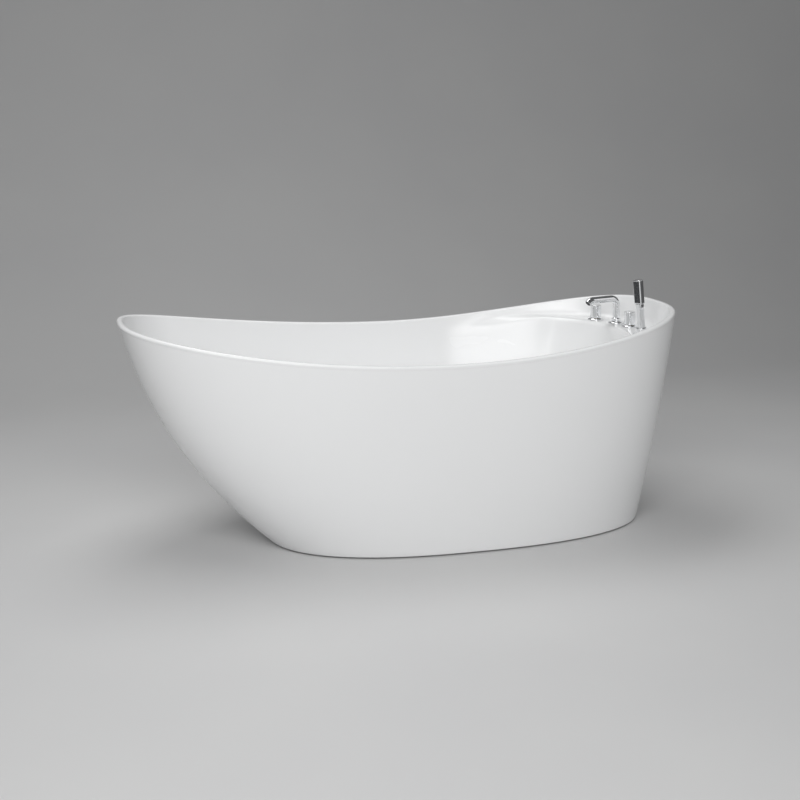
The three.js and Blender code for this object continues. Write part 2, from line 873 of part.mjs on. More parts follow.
// The waste's flange and tail, with the cross of spokes that guides the plug's stem.
function wasteFlangeSolid() {
  const bottom = basin.floorHeight + fit.rest;
  const top = bottom + waste.flangeThickness;
  const bevel = waste.flangeBevel;
  const flange = turned([
    [wasteBore, tailBottom],
    [waste.tailRadius, tailBottom],
    [waste.tailRadius, bottom],
    [wasteFlange, bottom],
    [wasteFlange - bevel, top],
    [wasteBore + bevel, top],
    [wasteBore, top - bevel],
  ]);
  const spokeTop = top - waste.spokeDrop;
  const spokeMiddle = spokeTop - waste.spokeHeight / 2;
  const spokeSize = [wasteBore + waste.tailRadius, waste.spokeWidth, waste.spokeHeight];
  const spokes = [0, Math.PI / 2].map((turn) => box(spokeSize, [0, 0, spokeMiddle]).rotateZ(turn));
  const hub = disc(waste.hubRadius, spokeTop - waste.spokeHeight - waste.hubDepth, spokeTop, HIDDEN);
  const guide = disc(plug.stemRadius + fit.running, tailBottom - PAST, top + PAST, HIDDEN);
  return cut(join(flange, ...spokes, hub), guide);
}

function addPlug(group) {
  const capBottom = basin.floorHeight + fit.rest + waste.flangeThickness + fit.running;
  const capTop = capBottom + plug.thickness;
  const radius = wasteBore + plug.overlap;
  const cap = turned([
    [0, capTop - plug.stemLength],
    [plug.stemRadius, capTop - plug.stemLength],
    [plug.stemRadius, capBottom],
    [radius - plug.edge, capBottom],
    [radius, capBottom + plug.edge],
    [radius - plug.edge, capTop - plug.dome],
    [radius / 2, capTop - plug.dome / 4],
    [0, capTop],
  ]);
  place(group, "waste_plug", cap, chrome);
  const top = capBottom - fit.rest;
  const sealRadius = wasteBore - plug.sealClearance;
  const seal = ring(plug.stemRadius + fit.rest, sealRadius, top - plug.sealThickness, top, HIDDEN);
  place(group, "waste_plug_seal", seal, rubber);
}

function addWaste() {
  const group = groupAt(wasteX, 0);
  place(group, "waste_flange", wasteFlangeSolid(), chrome);
  addPlug(group);
  const gasketTop = basin.floorHeight - basin.wall - fit.rest;
  const gasketBottom = gasketTop - waste.sealThickness;
  const gasket = ring(waste.tailRadius + fit.rest, wasteFlange, gasketBottom, gasketTop, HIDDEN);
  place(group, "waste_gasket", gasket, rubber);
  addTee(group, gasketBottom - fit.rest);
  addTrap(group);
}

// The tee that joins the waste's tail and the overflow pipe, and ends in a spigot on the trap.
function addTee(group, top) {
  const { step, collar, collarHeight, collarTaper, inletWall, inletReach } = tee;
  const spigot = teeMouth + tee.spigotWall;
  const around = waste.tailRadius + fit.rest;
  const body = turned([
    [teeMouth, teeBottom],
    [spigot, teeBottom],
    [spigot, teeBottom + step],
    [teeRadius, teeBottom + 2 * step],
    [teeRadius, top - collarHeight - collarTaper],
    [teeRadius + collar, top - collarHeight],
    [teeRadius + collar, top],
    [around, top],
    [around, tailBottom - tee.tailGap],
    [teeMouth, tailBottom - tee.tailGap - tee.tailTaper],
  ]);
  const reach = teeRadius + inletReach;
  const turnToX = (geometry) => geometry.rotateY(Math.PI / 2).translate(0, 0, pipeHeight);
  const inlet = turnToX(disc(overflow.pipeRadius + inletWall, waste.tailRadius, reach, HIDDEN));
  const inletBore = turnToX(disc(overflow.pipeRadius - overflow.pipeWall, 0, reach + PAST, HIDDEN));
  place(group, "waste_tee", cut(join(body, inlet), inletBore), plastic);
}

// A shallow trap under the tee, with an outlet pipe to the far side.
function addTrap(group) {
  const { radius, wall, corner, shoulder, outletBore, socketWall } = trap;
  const bottom = trap.groundGap;
  const top = teeBottom - fit.rest;
  const pot = turned([
    [0, bottom],
    [radius - corner, bottom],
    [radius, bottom + corner],
    [radius, top - shoulder],
    [radius - shoulder, top],
    [teeMouth, top],
    [teeMouth, top - wall],
    [radius - wall, top - wall - shoulder / 3],
    [radius - wall, bottom + 2 * wall],
    [radius - 2 * wall, bottom + wall],
    [0, bottom + wall],
  ]);
  const toFar = (geometry) => geometry.rotateX(-Math.PI / 2).translate(0, 0, bottom + trap.outletRise);
  const socketOuter = outletBore + socketWall;
  const socketEnd = radius + trap.socketReach;
  const socket = toFar(ring(outletBore, socketOuter, radius - wall - INTO, socketEnd, HIDDEN));
  const bore = toFar(disc(outletBore, radius / 2, socketEnd + PAST, HIDDEN));
  place(group, "waste_trap", cut(join(pot, socket), bore), plastic);
  const inner = socketOuter + fit.rest;
  const outlet = ring(inner, inner + trap.pipeWall, radius + trap.pipeGap, trap.pipeReach, HIDDEN);
  place(group, "waste_outlet_pipe", toFar(outlet), plastic);
}

function overflowCover() {
  const { coverRadius, coverThickness, coverWall, coverPlate, coverBevel, gapToWall, postRadius } = overflow;
  const front = -gapToWall - coverThickness;
  const plateBack = front + coverPlate;
  return turned([
    [0, front],
    [coverRadius - coverBevel, front],
    [coverRadius, front + coverBevel],
    [coverRadius, -gapToWall],
    [coverRadius - coverWall, -gapToWall],
    [coverRadius - coverWall, plateBack],
    [postRadius, plateBack],
    [postRadius, basin.wall],
    [0, basin.wall],
  ]);
}

function overflowBody(start, end, pipeAxis) {
  const { bodyRadius, bodyWall, bodyStep, gasketWidth, spigotWall, spigotReach } = overflow;
  const neckOuter = overflow.holeRadius - overflow.neckClearance;
  const neckBore = neckOuter - overflow.neckWall;
  const flange = overflow.holeRadius + gasketWidth;
  const shell = turned([
    [neckBore, overflow.neckInset],
    [neckOuter, overflow.neckInset],
    [neckOuter, start],
    [flange, start],
    [flange, start + bodyWall],
    [bodyRadius, start + bodyWall + bodyStep],
    [bodyRadius, end],
    [0, end],
    [0, end - bodyWall],
    [bodyRadius - bodyWall, end - bodyWall],
    [bodyRadius - bodyWall, start + bodyWall + 2 * bodyStep],
    [neckBore, start + bodyWall + 2 * bodyStep],
  ], HIDDEN);
  const toDown = (geometry) => geometry.rotateY(Math.PI / 2).translate(0, 0, pipeAxis);
  const flats = Math.cos(Math.PI / HIDDEN);
  const spigotRadius = (overflow.pipeRadius - overflow.pipeWall) * flats - fit.rest;
  const spigotStart = bodyRadius - 2 * bodyWall;
  const reach = flange + spigotReach;
  const spigot = toDown(disc(spigotRadius, spigotStart, reach, HIDDEN));
  const spigotBore = toDown(disc(spigotRadius - spigotWall, 0, reach + PAST, HIDDEN));
  return cut(join(shell, spigot), spigotBore);
}

function addOverflow() {
  const { seat, lean } = overflowSeat();
  const group = groupAt(seat.x, seat.y, seat.z);
  group.rotation.set(0, Math.PI / 2 + lean, 0); // the group's +Z now points out through the wall
  place(group, "overflow_cover", overflowCover(), chrome);

  const flange = overflow.holeRadius + overflow.gasketWidth;
  const gasketStart = basin.wall + overflow.gasketGap;
  const gasketEnd = gasketStart + overflow.gasketThickness;
  const gasket = ring(overflow.holeRadius + INTO, flange, gasketStart, gasketEnd, HIDDEN);
  place(group, "overflow_gasket", gasket, rubber);

  const bodyStart = gasketEnd + fit.rest;
  const bodyEnd = bodyStart + overflow.bodyDepth;
  const pipeAxis = (bodyStart + overflow.bodyWall + overflow.bodyStep + bodyEnd) / 2;
  place(group, "overflow_body", overflowBody(bodyStart, bodyEnd, pipeAxis), plastic);

  group.updateMatrixWorld(true);
  const top = group.localToWorld(vector(flange + overflow.pipeGap, 0, pipeAxis));
  const down = vector(1, 0, 0).applyEuler(group.rotation);
  const corner = top.clone().addScaledVector(down, (top.z - pipeHeight) / -down.z);
  const end = vector(wasteX + teeRadius + tee.inletReach + fit.rest, 0, pipeHeight);
  const route = bentPath([top, corner, end], overflow.pipeBend);
  place(model, "overflow_pipe", pipe(route, overflow.pipeRadius, overflow.pipeWall, 12, HIDDEN), plastic);
}

// The parts that clamp a deck fitting from below: a rubber washer and a nut around its neck.
function addClamp(group, name, neckRadius) {
  const washerTop = deckUnder - fit.rest;
  const washerBottom = washerTop - filler.washerHeight;
  const inner = neckRadius + fit.rest;
  const washer = ring(inner, fillerNut, washerBottom, washerTop, HIDDEN);
  place(group, `${name}_washer`, washer, rubber);
  const acrossFlats = 2 * fillerNut * Math.cos(Math.PI / 6);
  const nut = hexNut(acrossFlats, filler.nutHeight, washerBottom - fit.rest, inner, HIDDEN);
  place(group, `${name}_nut`, nut, brass);
}

function deckFlange(innerRadius) {
  const { flangeRadius, flangeBevel, flangeEdge } = filler;
  return turned([
    [innerRadius, flangeBottom],
    [flangeRadius, flangeBottom],
    [flangeRadius, flangeTop - flangeBevel],
    [flangeRadius - flangeEdge, flangeTop - flangeEdge],
    [flangeRadius - flangeBevel, flangeTop],
    [innerRadius, flangeTop],
  ]);
}

function knobSolid() {
  const { radius, edge, grooveDepth, stemLength, stemGap } = knob;
  const bottom = flangeTop + knob.lift;
  const top = bottom + knob.height;
  const grooveTop = top - knob.grooveDrop;
  const grooveBottom = grooveTop - knob.grooveHeight;
  const bore = knob.stemRadius + fit.running;
  return turned([
    [bore, bottom],
    [radius - edge, bottom],
    [radius, bottom + edge],
    [radius, grooveBottom],
    [radius - grooveDepth, grooveBottom],
    [radius - grooveDepth, grooveTop],
    [radius, grooveTop],
    [radius, top - edge],
    [radius - edge, top],
    [0, top],
    [0, bottom + stemLength + stemGap],
    [bore, bottom + stemLength + stemGap],
  ]);
}

// A rotary valve below the deck: body, threaded neck through the deck and flange, and the stem.
function valveSolid(ports) {
  const { bodyRadius, bevel, neckDrop, portRadius, portLength } = valve;
  const stemTop = flangeTop + knob.lift + knob.stemLength;
  const body = turned([
    [0, valveBottom],
    [bodyRadius - bevel, valveBottom],
    [bodyRadius, valveBottom + bevel],
    [bodyRadius, valveTop - bevel],
    [bodyRadius - bevel, valveTop],
    [filler.neckRadius, valveTop],
    [filler.neckRadius, flangeTop - neckDrop],
    [knob.stemRadius, flangeTop - neckDrop],
    [knob.stemRadius, stemTop],
    [0, stemTop],
  ]);
  const stubs = ports.map(({ turn, rise }) => {
    const stub = disc(portRadius, 0, bodyRadius + portLength, HIDDEN);
    return stub.rotateY(Math.PI / 2).rotateZ(turn).translate(0, 0, valveBottom + rise);
  });
  return join(body, ...stubs);
}

function directionTo(from, to) {
  return Math.atan2(to[1] - from[1], to[0] - from[0]);
}

// A straight pipe between two fittings at one height, with a gap from each fitting's axis.
function addLink(name, from, to, height, startGap, endGap) {
  const start = vector(from[0], from[1], height);
  const end = vector(to[0], to[1], height);
  const way = end.clone().sub(start).normalize();
  start.addScaledVector(way, startGap);
  end.addScaledVector(way, -endGap);
  place(model, name, pipe(new THREE.LineCurve3(start, end), link.radius, link.wall, 1), copper);
}

function addValves() {
  const flow = deckSpot(filler.flowAngle);
  const diverter = deckSpot(filler.diverterAngle);
  const spoutSpot = deckSpot(filler.spoutAngle);
  const toDiverter = directionTo(flow, diverter);
  const toSpout = directionTo(diverter, spoutSpot);
  const { mixedRise, spoutRise } = link;
  const portsOf = {
    flow: [{ turn: toDiverter, rise: mixedRise }],
    diverter: [
      { turn: toDiverter + Math.PI, rise: mixedRise },
      { turn: toSpout, rise: spoutRise },
      { turn: toDiverter, rise: mixedRise },
    ],
  };
  for (const [name, spot] of [["flow", flow], ["diverter", diverter]]) {
    const group = groupAt(spot[0], spot[1]);
    place(group, `${name}_knob`, knobSolid(), chrome);
    place(group, `${name}_flange`, deckFlange(filler.neckRadius + fit.rest), chrome);
    place(group, `${name}_valve`, valveSolid(portsOf[name]), brass);
    addClamp(group, name, filler.neckRadius);
  }
  const portEnd = valve.bodyRadius + valve.portLength + fit.rest;
  const shankGap = spout.shankRadius + fit.rest;
  addLink("mixed_water_pipe", flow, diverter, valveBottom + mixedRise, portEnd, portEnd);
  addLink("spout_feed_pipe", diverter, spoutSpot, valveBottom + spoutRise, portEnd, shankGap);
}

function spoutCollar(bottom, bore) {
  const { collarRadius, collarHeight, collarBevel, collarStep, radius } = spout;
  const top = bottom + collarHeight;
  return turned([
    [bore, bottom],
    [collarRadius, bottom],
    [collarRadius, top - collarBevel],
    [radius + collarStep, top],
    [bore, top],
  ]);
}

function addSpout() {
  const [x, y, angle] = deckSpot(filler.spoutAngle);
  const group = groupAt(x, y, 0, angle + Math.PI); // the group's +X points into the bath
  place(group, "spout_flange", deckFlange(spout.shankRadius + fit.rest), chrome);
  const shankTop = flangeTop - spout.shankDrop;
  const shank = ring(spout.shankBore, spout.shankRadius, deckUnder - spout.shankDepth, shankTop, HIDDEN);
  place(group, "spout_shank", shank, brass);
  addClamp(group, "spout", spout.shankRadius);

  const bottom = flangeTop + fit.running;
  const runHeight = deckHeight + spout.rise;
  const turn = THREE.MathUtils.degToRad(spout.outletTurn);
  const tip = vector(Math.cos(turn), 0, -Math.sin(turn));
  const bendAt = vector(spout.reach - spout.tipLength * Math.cos(turn), 0, runHeight);
  const end = bendAt.clone().addScaledVector(tip, spout.tipLength);
  const route = bentPath([vector(0, 0, bottom), vector(0, 0, runHeight), bendAt, end], spout.bend);
  const bore = spout.radius - spout.wall;
  const tube = join(pipe(route, spout.radius, spout.wall, 18, 14), spoutCollar(bottom, bore));
  place(group, "spout_tube", tube, chrome);

  const { aeratorGap, aeratorLength, aeratorProud } = spout;
  const aerator = disc(bore - aeratorGap, aeratorProud - aeratorLength, aeratorProud, HIDDEN);
  aerator.rotateY(Math.PI / 2 + turn).translate(end.x, end.y, end.z);
  place(group, "spout_aerator", aerator, darkFace);
}

// An upright bar with rounded corners, centred on the Z axis.
function bar(width, thickness, corner, bottom, top) {
  return roundedSlab(thickness, width, corner, top - bottom, 4).translate(0, 0, bottom);
}

// The holder: a flange and a guide through the deck, with a leaning collar and bore for the hand shower.
function addHolder(x, y, lean) {
  const group = groupAt(x, y, 0);
  const guideRadius = fillerHole - handset.guideClearance;
  const depth = flangeTop - deckUnder + handset.guideDepth;
  const leaned = (geometry) => geometry.rotateY(lean).translate(0, 0, flangeTop);
  const guide = disc(guideRadius - fit.running, flangeTop - depth, flangeBottom + INTO);
  const collar = leaned(disc(handset.collarRadius, -PAST, handset.collarHeight));
  const bore = leaned(disc(handset.boreRadius, -2 * depth, 2 * handset.collarHeight));
  const solid = join(deckFlange(handset.boreRadius / 2), guide, collar);
  place(group, "handset_holder", cut(solid, bore), chrome);
  addClamp(group, "handset", guideRadius);
}

function addHandset() {
  const [x, y] = deckSpot(filler.handsetAngle);
  const lean = -THREE.MathUtils.degToRad(handset.lean);
  addHolder(x, y, lean);

  const stick = groupAt(x, y, flangeTop);
  stick.rotation.y = lean;
  const turn = THREE.MathUtils.degToRad(handset.faceTurn);
  const { collarHeight, handleWidth, handleThickness, corner } = handset;
  const handleBottom = collarHeight + fit.rest;
  const handleTop = handleBottom + handset.handleLength;
  const connectorRadius = handset.boreRadius - handset.connectorClearance;
  const connectorBottom = collarHeight - handset.connectorDepth;
  const connector = disc(connectorRadius, connectorBottom, handleBottom + INTO, HIDDEN);
  const grip = bar(handleWidth, handleThickness, corner, handleBottom, handleTop).rotateZ(turn);
  place(stick, "handset_handle", join(connector, grip), chrome);

  const headBottom = handleTop + fit.rest;
  const headTop = headBottom + handset.headLength;
  const { headWidth, headThickness, faceInset, faceDepth } = handset;
  const head = bar(headWidth, headThickness, corner, headBottom, headTop);
  const faceHeight = handset.headLength - 2 * faceInset;
  const faceWidth = headWidth - 2 * faceInset;
  const faceMiddle = (headBottom + headTop) / 2;
  const faceBack = headThickness / 2 - faceDepth;
  const recessDepth = faceDepth + PAST;
  const recess = box([recessDepth, faceWidth, faceHeight], [faceBack + recessDepth / 2, 0, faceMiddle]);
  place(stick, "handset_head", cut(head, recess).rotateZ(turn), chrome);
  const plate = box(
    [faceDepth - fit.rest, faceWidth - 2 * fit.rest, faceHeight - 2 * fit.rest],
    [faceBack + (faceDepth + fit.rest) / 2, 0, faceMiddle],
  );
  place(stick, "handset_face", plate.rotateZ(turn), darkFace);
}

addBasin();
place(model, "outer_skirt", skirtSkin(), acrylic);
addFrame();
addFeet();
addBrackets();
addWaste();
addOverflow();
addValves();
addSpout();
addHandset();

export default model;
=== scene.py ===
"""The looks of a freestanding slipper bath with a deck-mounted filler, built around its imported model.

Metres, +Z up, in the model's own frame: +X points to the tap end, and the ground is at Z = 0.
"""

import json
import math

import bmesh
import bpy
import numpy as np
from mathutils import Matrix, Vector


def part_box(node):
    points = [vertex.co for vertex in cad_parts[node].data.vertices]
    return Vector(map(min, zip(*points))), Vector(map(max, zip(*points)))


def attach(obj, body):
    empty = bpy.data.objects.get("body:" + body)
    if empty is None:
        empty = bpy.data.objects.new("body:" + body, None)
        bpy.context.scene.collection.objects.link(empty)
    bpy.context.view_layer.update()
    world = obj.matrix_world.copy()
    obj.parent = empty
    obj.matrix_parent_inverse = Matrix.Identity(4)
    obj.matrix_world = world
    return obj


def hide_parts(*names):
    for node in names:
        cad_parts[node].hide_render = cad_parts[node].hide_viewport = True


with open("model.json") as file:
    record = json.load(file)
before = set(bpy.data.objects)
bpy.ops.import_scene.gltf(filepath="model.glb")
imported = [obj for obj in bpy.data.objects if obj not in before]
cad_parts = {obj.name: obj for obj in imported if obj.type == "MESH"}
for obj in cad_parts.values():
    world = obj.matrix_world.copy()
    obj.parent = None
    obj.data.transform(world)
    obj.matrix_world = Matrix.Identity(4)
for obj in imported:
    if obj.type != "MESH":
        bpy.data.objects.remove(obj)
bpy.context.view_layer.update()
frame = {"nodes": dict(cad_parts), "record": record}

NODES = frame["nodes"]

# ---------------------------------------------------------------- camera

AZIMUTH = math.radians(-15.4)  # seen from the head end's side
ELEVATION = math.radians(12.79)
DISTANCE = 3.939
AIM = Vector((-0.009, 0, 0.407))
LENS = 57.5
SENSOR = 36


def make_camera():
    back = Vector((
        math.sin(AZIMUTH) * math.cos(ELEVATION),
        -math.cos(AZIMUTH) * math.cos(ELEVATION),
        math.sin(ELEVATION),
    ))
    data = bpy.data.cameras.new("camera")
    data.lens = LENS
    data.sensor_width = SENSOR
    camera = bpy.data.objects.new("camera", data)
    camera.location = AIM + back * DISTANCE
    camera.rotation_euler = (-back).to_track_quat("-Z", "Y").to_euler()
    bpy.context.scene.collection.objects.link(camera)
    bpy.context.scene.camera = camera


# ---------------------------------------------------------------- materials

def new_material(name, color, roughness, metallic=0.0):
    material = bpy.data.materials.new(name)
    material.use_nodes = True
    shader = material.node_tree.nodes["Principled BSDF"]
    shader.inputs["Base Color"].default_value = (*color, 1)
    shader.inputs["Roughness"].default_value = roughness
    shader.inputs["Metallic"].default_value = metallic
    return material, shader


def noise(material, scale, detail=3.0, stretch=(1, 1, 1)):
    """A noise value that keeps its place on the object."""
    tree = material.node_tree
    place = tree.nodes.new("ShaderNodeTexCoord")
    mapping = tree.nodes.new("ShaderNodeMapping")
    mapping.inputs["Scale"].default_value = stretch
    texture = tree.nodes.new("ShaderNodeTexNoise")
    texture.inputs["Scale"].default_value = scale
    texture.inputs["Detail"].default_value = detail
    tree.links.new(place.outputs["Object"], mapping.inputs["Vector"])
    tree.links.new(mapping.outputs["Vector"], texture.inputs["Vector"])
    return texture.outputs["Fac"]


def ramp(material, value, low, high, start=0.35, end=0.65):
    """A colour or grey that goes from low to high as the value goes from start to end."""
    node = material.node_tree.nodes.new("ShaderNodeValToRGB")
    node.color_ramp.elements[0].position = start
    node.color_ramp.elements[1].position = end
    for element, color in zip(node.color_ramp.elements, (low, high)):
        element.color = (*color, 1) if isinstance(color, tuple) else (color, color, color, 1)
    material.node_tree.links.new(value, node.inputs["Fac"])
    return node.outputs["Color"]


def vary(material, socket, value):
    shader = material.node_tree.nodes["Principled BSDF"]
    material.node_tree.links.new(value, shader.inputs[socket])


def bump(material, value, height, under=None):
    node = material.node_tree.nodes.new("ShaderNodeBump")
    node.inputs["Strength"].default_value = 1.0
    node.inputs["Distance"].default_value = height
    material.node_tree.links.new(value, node.inputs["Height"])
    if under:
        material.node_tree.links.new(under, node.inputs["Normal"])
    return node.outputs["Normal"]


def make_acrylic():
    """Polished white sheet acrylic: a soft gloss with slight waviness and faint wiping marks."""
    material, shader = new_material("acrylic_gloss", (0.86, 0.865, 0.87), 0.28)
    shader.inputs["Specular IOR Level"].default_value = 0.5
    shader.inputs["Coat Weight"].default_value = 0.12
    shader.inputs["Coat Roughness"].default_value = 0.16
    tint = ramp(material, noise(material, 2.2, 4), (0.861, 0.866, 0.869), (0.866, 0.87, 0.872), 0.2, 0.8)
    vary(material, "Base Color", tint)
    marks = noise(material, 5, 2, (1, 1, 2.5))
    vary(material, "Roughness", ramp(material, marks, 0.264, 0.276, 0.1, 0.9))
    waves = bump(material, noise(material, 5, 1), 0.0004)
    peel = bump(material, noise(material, 130, 1), 0.000004, waves)
    vary(material, "Normal", peel)
    return material


def make_chrome():
    """Polished chrome plate with faint smears and dried water spots."""
    material, _ = new_material("chrome_polished", (0.83, 0.84, 0.85), 0.06, 1.0)
    tint = ramp(material, noise(material, 30, 3), (0.80, 0.81, 0.825), (0.86, 0.865, 0.87))
    vary(material, "Base Color", tint)
    vary(material, "Roughness", ramp(material, noise(material, 160, 5), 0.035, 0.12, 0.45, 0.8))
    vary(material, "Normal", bump(material, noise(material, 90, 2), 0.00001))
    return material


def make_steel():
    """Zinc-plated steel with the spangle and dull patches of a stored part."""
    material, _ = new_material("steel_zinc", (0.6, 0.62, 0.64), 0.42, 0.9)
    cells = material.node_tree.nodes.new("ShaderNodeTexVoronoi")
    cells.inputs["Scale"].default_value = 140
    tint = ramp(material, cells.outputs["Distance"], (0.5, 0.52, 0.54), (0.66, 0.68, 0.7), 0.1, 0.9)
    vary(material, "Base Color", tint)
    vary(material, "Roughness", ramp(material, noise(material, 24, 5), 0.32, 0.56))
    vary(material, "Normal", bump(material, noise(material, 400, 3), 0.00004))
    return material


def make_brass():
    """Turned brass: fine tool marks and a little tarnish."""
    material, _ = new_material("brass_turned", (0.72, 0.55, 0.28), 0.3, 1.0)
    tint = ramp(material, noise(material, 18, 5), (0.56, 0.41, 0.19), (0.76, 0.6, 0.32))
    vary(material, "Base Color", tint)
    lathe_marks = noise(material, 40, 2, (1, 1, 60))
    vary(material, "Roughness", ramp(material, lathe_marks, 0.22, 0.42))
    vary(material, "Normal", bump(material, lathe_marks, 0.00003))
    return material


def make_copper():
    """Drawn copper tube with darker oxide clouds."""
    material, _ = new_material("copper_tube", (0.72, 0.42, 0.27), 0.3, 1.0)
    tint = ramp(material, noise(material, 14, 6), (0.45, 0.22, 0.13), (0.78, 0.47, 0.32))
    vary(material, "Base Color", tint)
    vary(material, "Roughness", ramp(material, noise(material, 60, 4), 0.2, 0.45))
    return material


def make_rubber():
    """Moulded black rubber, dusty where it has been handled."""
    material, _ = new_material("rubber_moulded", (0.04, 0.04, 0.04), 0.8)
    tint = ramp(material, noise(material, 22, 5), (0.025, 0.025, 0.027), (0.075, 0.073, 0.07))
    vary(material, "Base Color", tint)
    vary(material, "Roughness", ramp(material, noise(material, 80, 4), 0.68, 0.92))
    vary(material, "Normal", bump(material, noise(material, 900, 3), 0.00008))
    return material


def make_drain_plastic():
    """White moulded polypropylene with a fine spark-eroded grain."""
    material, _ = new_material("drain_polypropylene", (0.8, 0.8, 0.78), 0.45)
    tint = ramp(material, noise(material, 8, 4), (0.76, 0.76, 0.74), (0.83, 0.83, 0.81))
    vary(material, "Base Color", tint)
    vary(material, "Roughness", ramp(material, noise(material, 120, 4), 0.38, 0.55))
    vary(material, "Normal", bump(material, noise(material, 1200, 2), 0.00003))
    return material


def make_dark_plastic():
    """Dark satin plastic of the spray face and the aerator."""
    material, _ = new_material("dark_satin_plastic", (0.03, 0.032, 0.035), 0.3)
    tint = ramp(material, noise(material, 60, 4), (0.022, 0.024, 0.027), (0.045, 0.047, 0.05))
    vary(material, "Base Color", tint)
    vary(material, "Roughness", ramp(material, noise(material, 200, 4), 0.22, 0.4))
    vary(material, "Normal", bump(material, noise(material, 1500, 2), 0.00002))
    return material


def make_laminate():
    """Board sealed in glass-fibre resin: chopped strands under a dull, uneven coat."""
    material, _ = new_material("fibre_laminate", (0.75, 0.72, 0.62), 0.6)
    strands = noise(material, 90, 6, (1, 5, 1))
    tint = ramp(material, strands, (0.62, 0.58, 0.47), (0.8, 0.78, 0.7))
    vary(material, "Base Color", tint)
    vary(material, "Roughness", ramp(material, noise(material, 30, 4), 0.45, 0.75))
    vary(material, "Normal", bump(material, strands, 0.0004))
    return material


def make_floor():
    """Pale, even studio floor."""
    material, _ = new_material("studio_floor", (0.66, 0.66, 0.66), 0.6)
    tint = ramp(material, noise(material, 1.2, 3), (0.65, 0.65, 0.652), (0.67, 0.67, 0.668))
    vary(material, "Base Color", tint)
    return material


MATERIALS = {
    "acrylic": make_acrylic(),
    "chrome": make_chrome(),
    "frame_steel": make_steel(),
    "brass": make_brass(),
    "copper": make_copper(),
    "rubber": make_rubber(),
    "drain_plastic": make_drain_plastic(),
    "dark_plastic": make_dark_plastic(),
    "board": make_laminate(),
}
SLOT_OF = {part["node"]: part["material_slot"] for part in frame["record"]["subparts"]}
BODY_OF = {
    node: body for body, nodes in frame["record"]["behaviour"]["bodies"].items() for node in nodes
}


def dress_cad_nodes():
    for name, node in NODES.items():
        node.data.materials.clear()
        node.data.materials.append(MATERIALS[SLOT_OF[name]])


# ---------------------------------------------------------------- mesh helpers

SHARP = math.radians(40)


def make_piece(name, mesh, stands_for):
    """Adds a finished mesh as the visible piece of one CAD node, on that node's body."""
    mesh.name = name
    for polygon in mesh.polygons:
        polygon.use_smooth = True
    mesh.set_sharp_from_angle(angle=SHARP)
    piece = bpy.data.objects.new(name, mesh)
    bpy.context.scene.collection.objects.link(piece)
    slot = SLOT_OF[stands_for]
    mesh.materials.append(MATERIALS[slot])
    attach(piece, BODY_OF[stands_for])
    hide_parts(stands_for)
    return piece


def grid_mesh(points, close_rows=True):
    """A skin over points[row][column], closed around the columns and, if asked, around the rows."""
    points = np.asarray(points, float)
    rows, columns, _ = points.shape
    faces = []
    for row in range(rows if close_rows else rows - 1):
        above = (row + 1) % rows
        for column in range(columns):
            beside = (column + 1) % columns
            faces.append((
                row * columns + column,
                row * columns + beside,
                above * columns + beside,
                above * columns + column,
            ))
    mesh = bpy.data.meshes.new("skin")
    mesh.from_pydata(points.reshape(-1, 3).tolist(), [], faces)
    return tidy_mesh(mesh)


def tidy_mesh(mesh):
    """Merges points that coincide, as at a pole, and turns all faces outwards."""
    work = bmesh.new()
    work.from_mesh(mesh)
    bmesh.ops.remove_doubles(work, verts=work.verts, dist=1e-7)
    bmesh.ops.recalc_face_normals(work, faces=work.faces)
    work.to_mesh(mesh)
    work.free()
    return mesh


def joined(*meshes):
    work = bmesh.new()
    for mesh in meshes:
        work.from_mesh(mesh)
    result = bpy.data.meshes.new("joined")
    work.to_mesh(result)
    work.free()
    return result


def cut_mesh(mesh, tools):
    """The mesh with each tool mesh cut away."""
    target = bpy.data.objects.new("cut", mesh)
    bpy.context.scene.collection.objects.link(target)
    cutters = []
    for tool in tools:
        cutter = bpy.data.objects.new("tool", tool)
        bpy.context.scene.collection.objects.link(cutter)
        cutters.append(cutter)
        modifier = target.modifiers.new("cut", "BOOLEAN")
        modifier.operation = "DIFFERENCE"
        modifier.solver = "EXACT"
        modifier.object = cutter
    depsgraph = bpy.context.evaluated_depsgraph_get()
    result = bpy.data.meshes.new_from_object(target.evaluated_get(depsgraph))
    for object_ in [target, *cutters]:
        bpy.data.objects.remove(object_)
    return result


ARC_STEPS = 6
SUPPORT = 0.0004  # extra ring beside each round edge, which keeps the flat faces flat


def rounded_outline(corners):
    """A closed outline from (x, y, radius) corners: each corner becomes an arc of that radius."""
    points = []
    count = len(corners)
    for i, (x, y, radius) in enumerate(corners):
        here = Vector((x, y))
        before = Vector(corners[i - 1][:2]) - here
        after = Vector(corners[(i + 1) % count][:2]) - here
        if radius == 0:
            points.append(here)
            continue
        setback = min(radius, 0.45 * before.length, 0.45 * after.length)
        start = here + before.normalized() * setback
        end = here + after.normalized() * setback
        points.append(start + before * min(SUPPORT / before.length, 0.04))
        for step in range(ARC_STEPS + 1):
            share = step / ARC_STEPS
            points.append((1 - share) ** 2 * start + 2 * share * (1 - share) * here + share ** 2 * end)
        points.append(end + after * min(SUPPORT / after.length, 0.04))
    return points


def turned(corners, steps=96):
    """A solid of revolution about Z from the (radius, z, round) corners of its outline.

    An outline may start and end on the axis; otherwise it's closed.
    """
    outline = rounded_outline(corners)
    on_axis = corners[0][0] == 0 and corners[-1][0] == 0
    turns = np.linspace(0, 2 * math.pi, steps, endpoint=False)
    rows = [
        np.stack([p.x * np.cos(turns), p.x * np.sin(turns), np.full(steps, p.y)], axis=1)
        for p in outline
    ]
    return grid_mesh(rows, close_rows=not on_axis)


def moved(mesh, matrix):
    mesh.transform(matrix)
    return mesh


def at(x, y, z=0.0):
    return Matrix.Translation((x, y, z))


def about(axis, degrees):
    return Matrix.Rotation(math.radians(degrees), 4, axis)


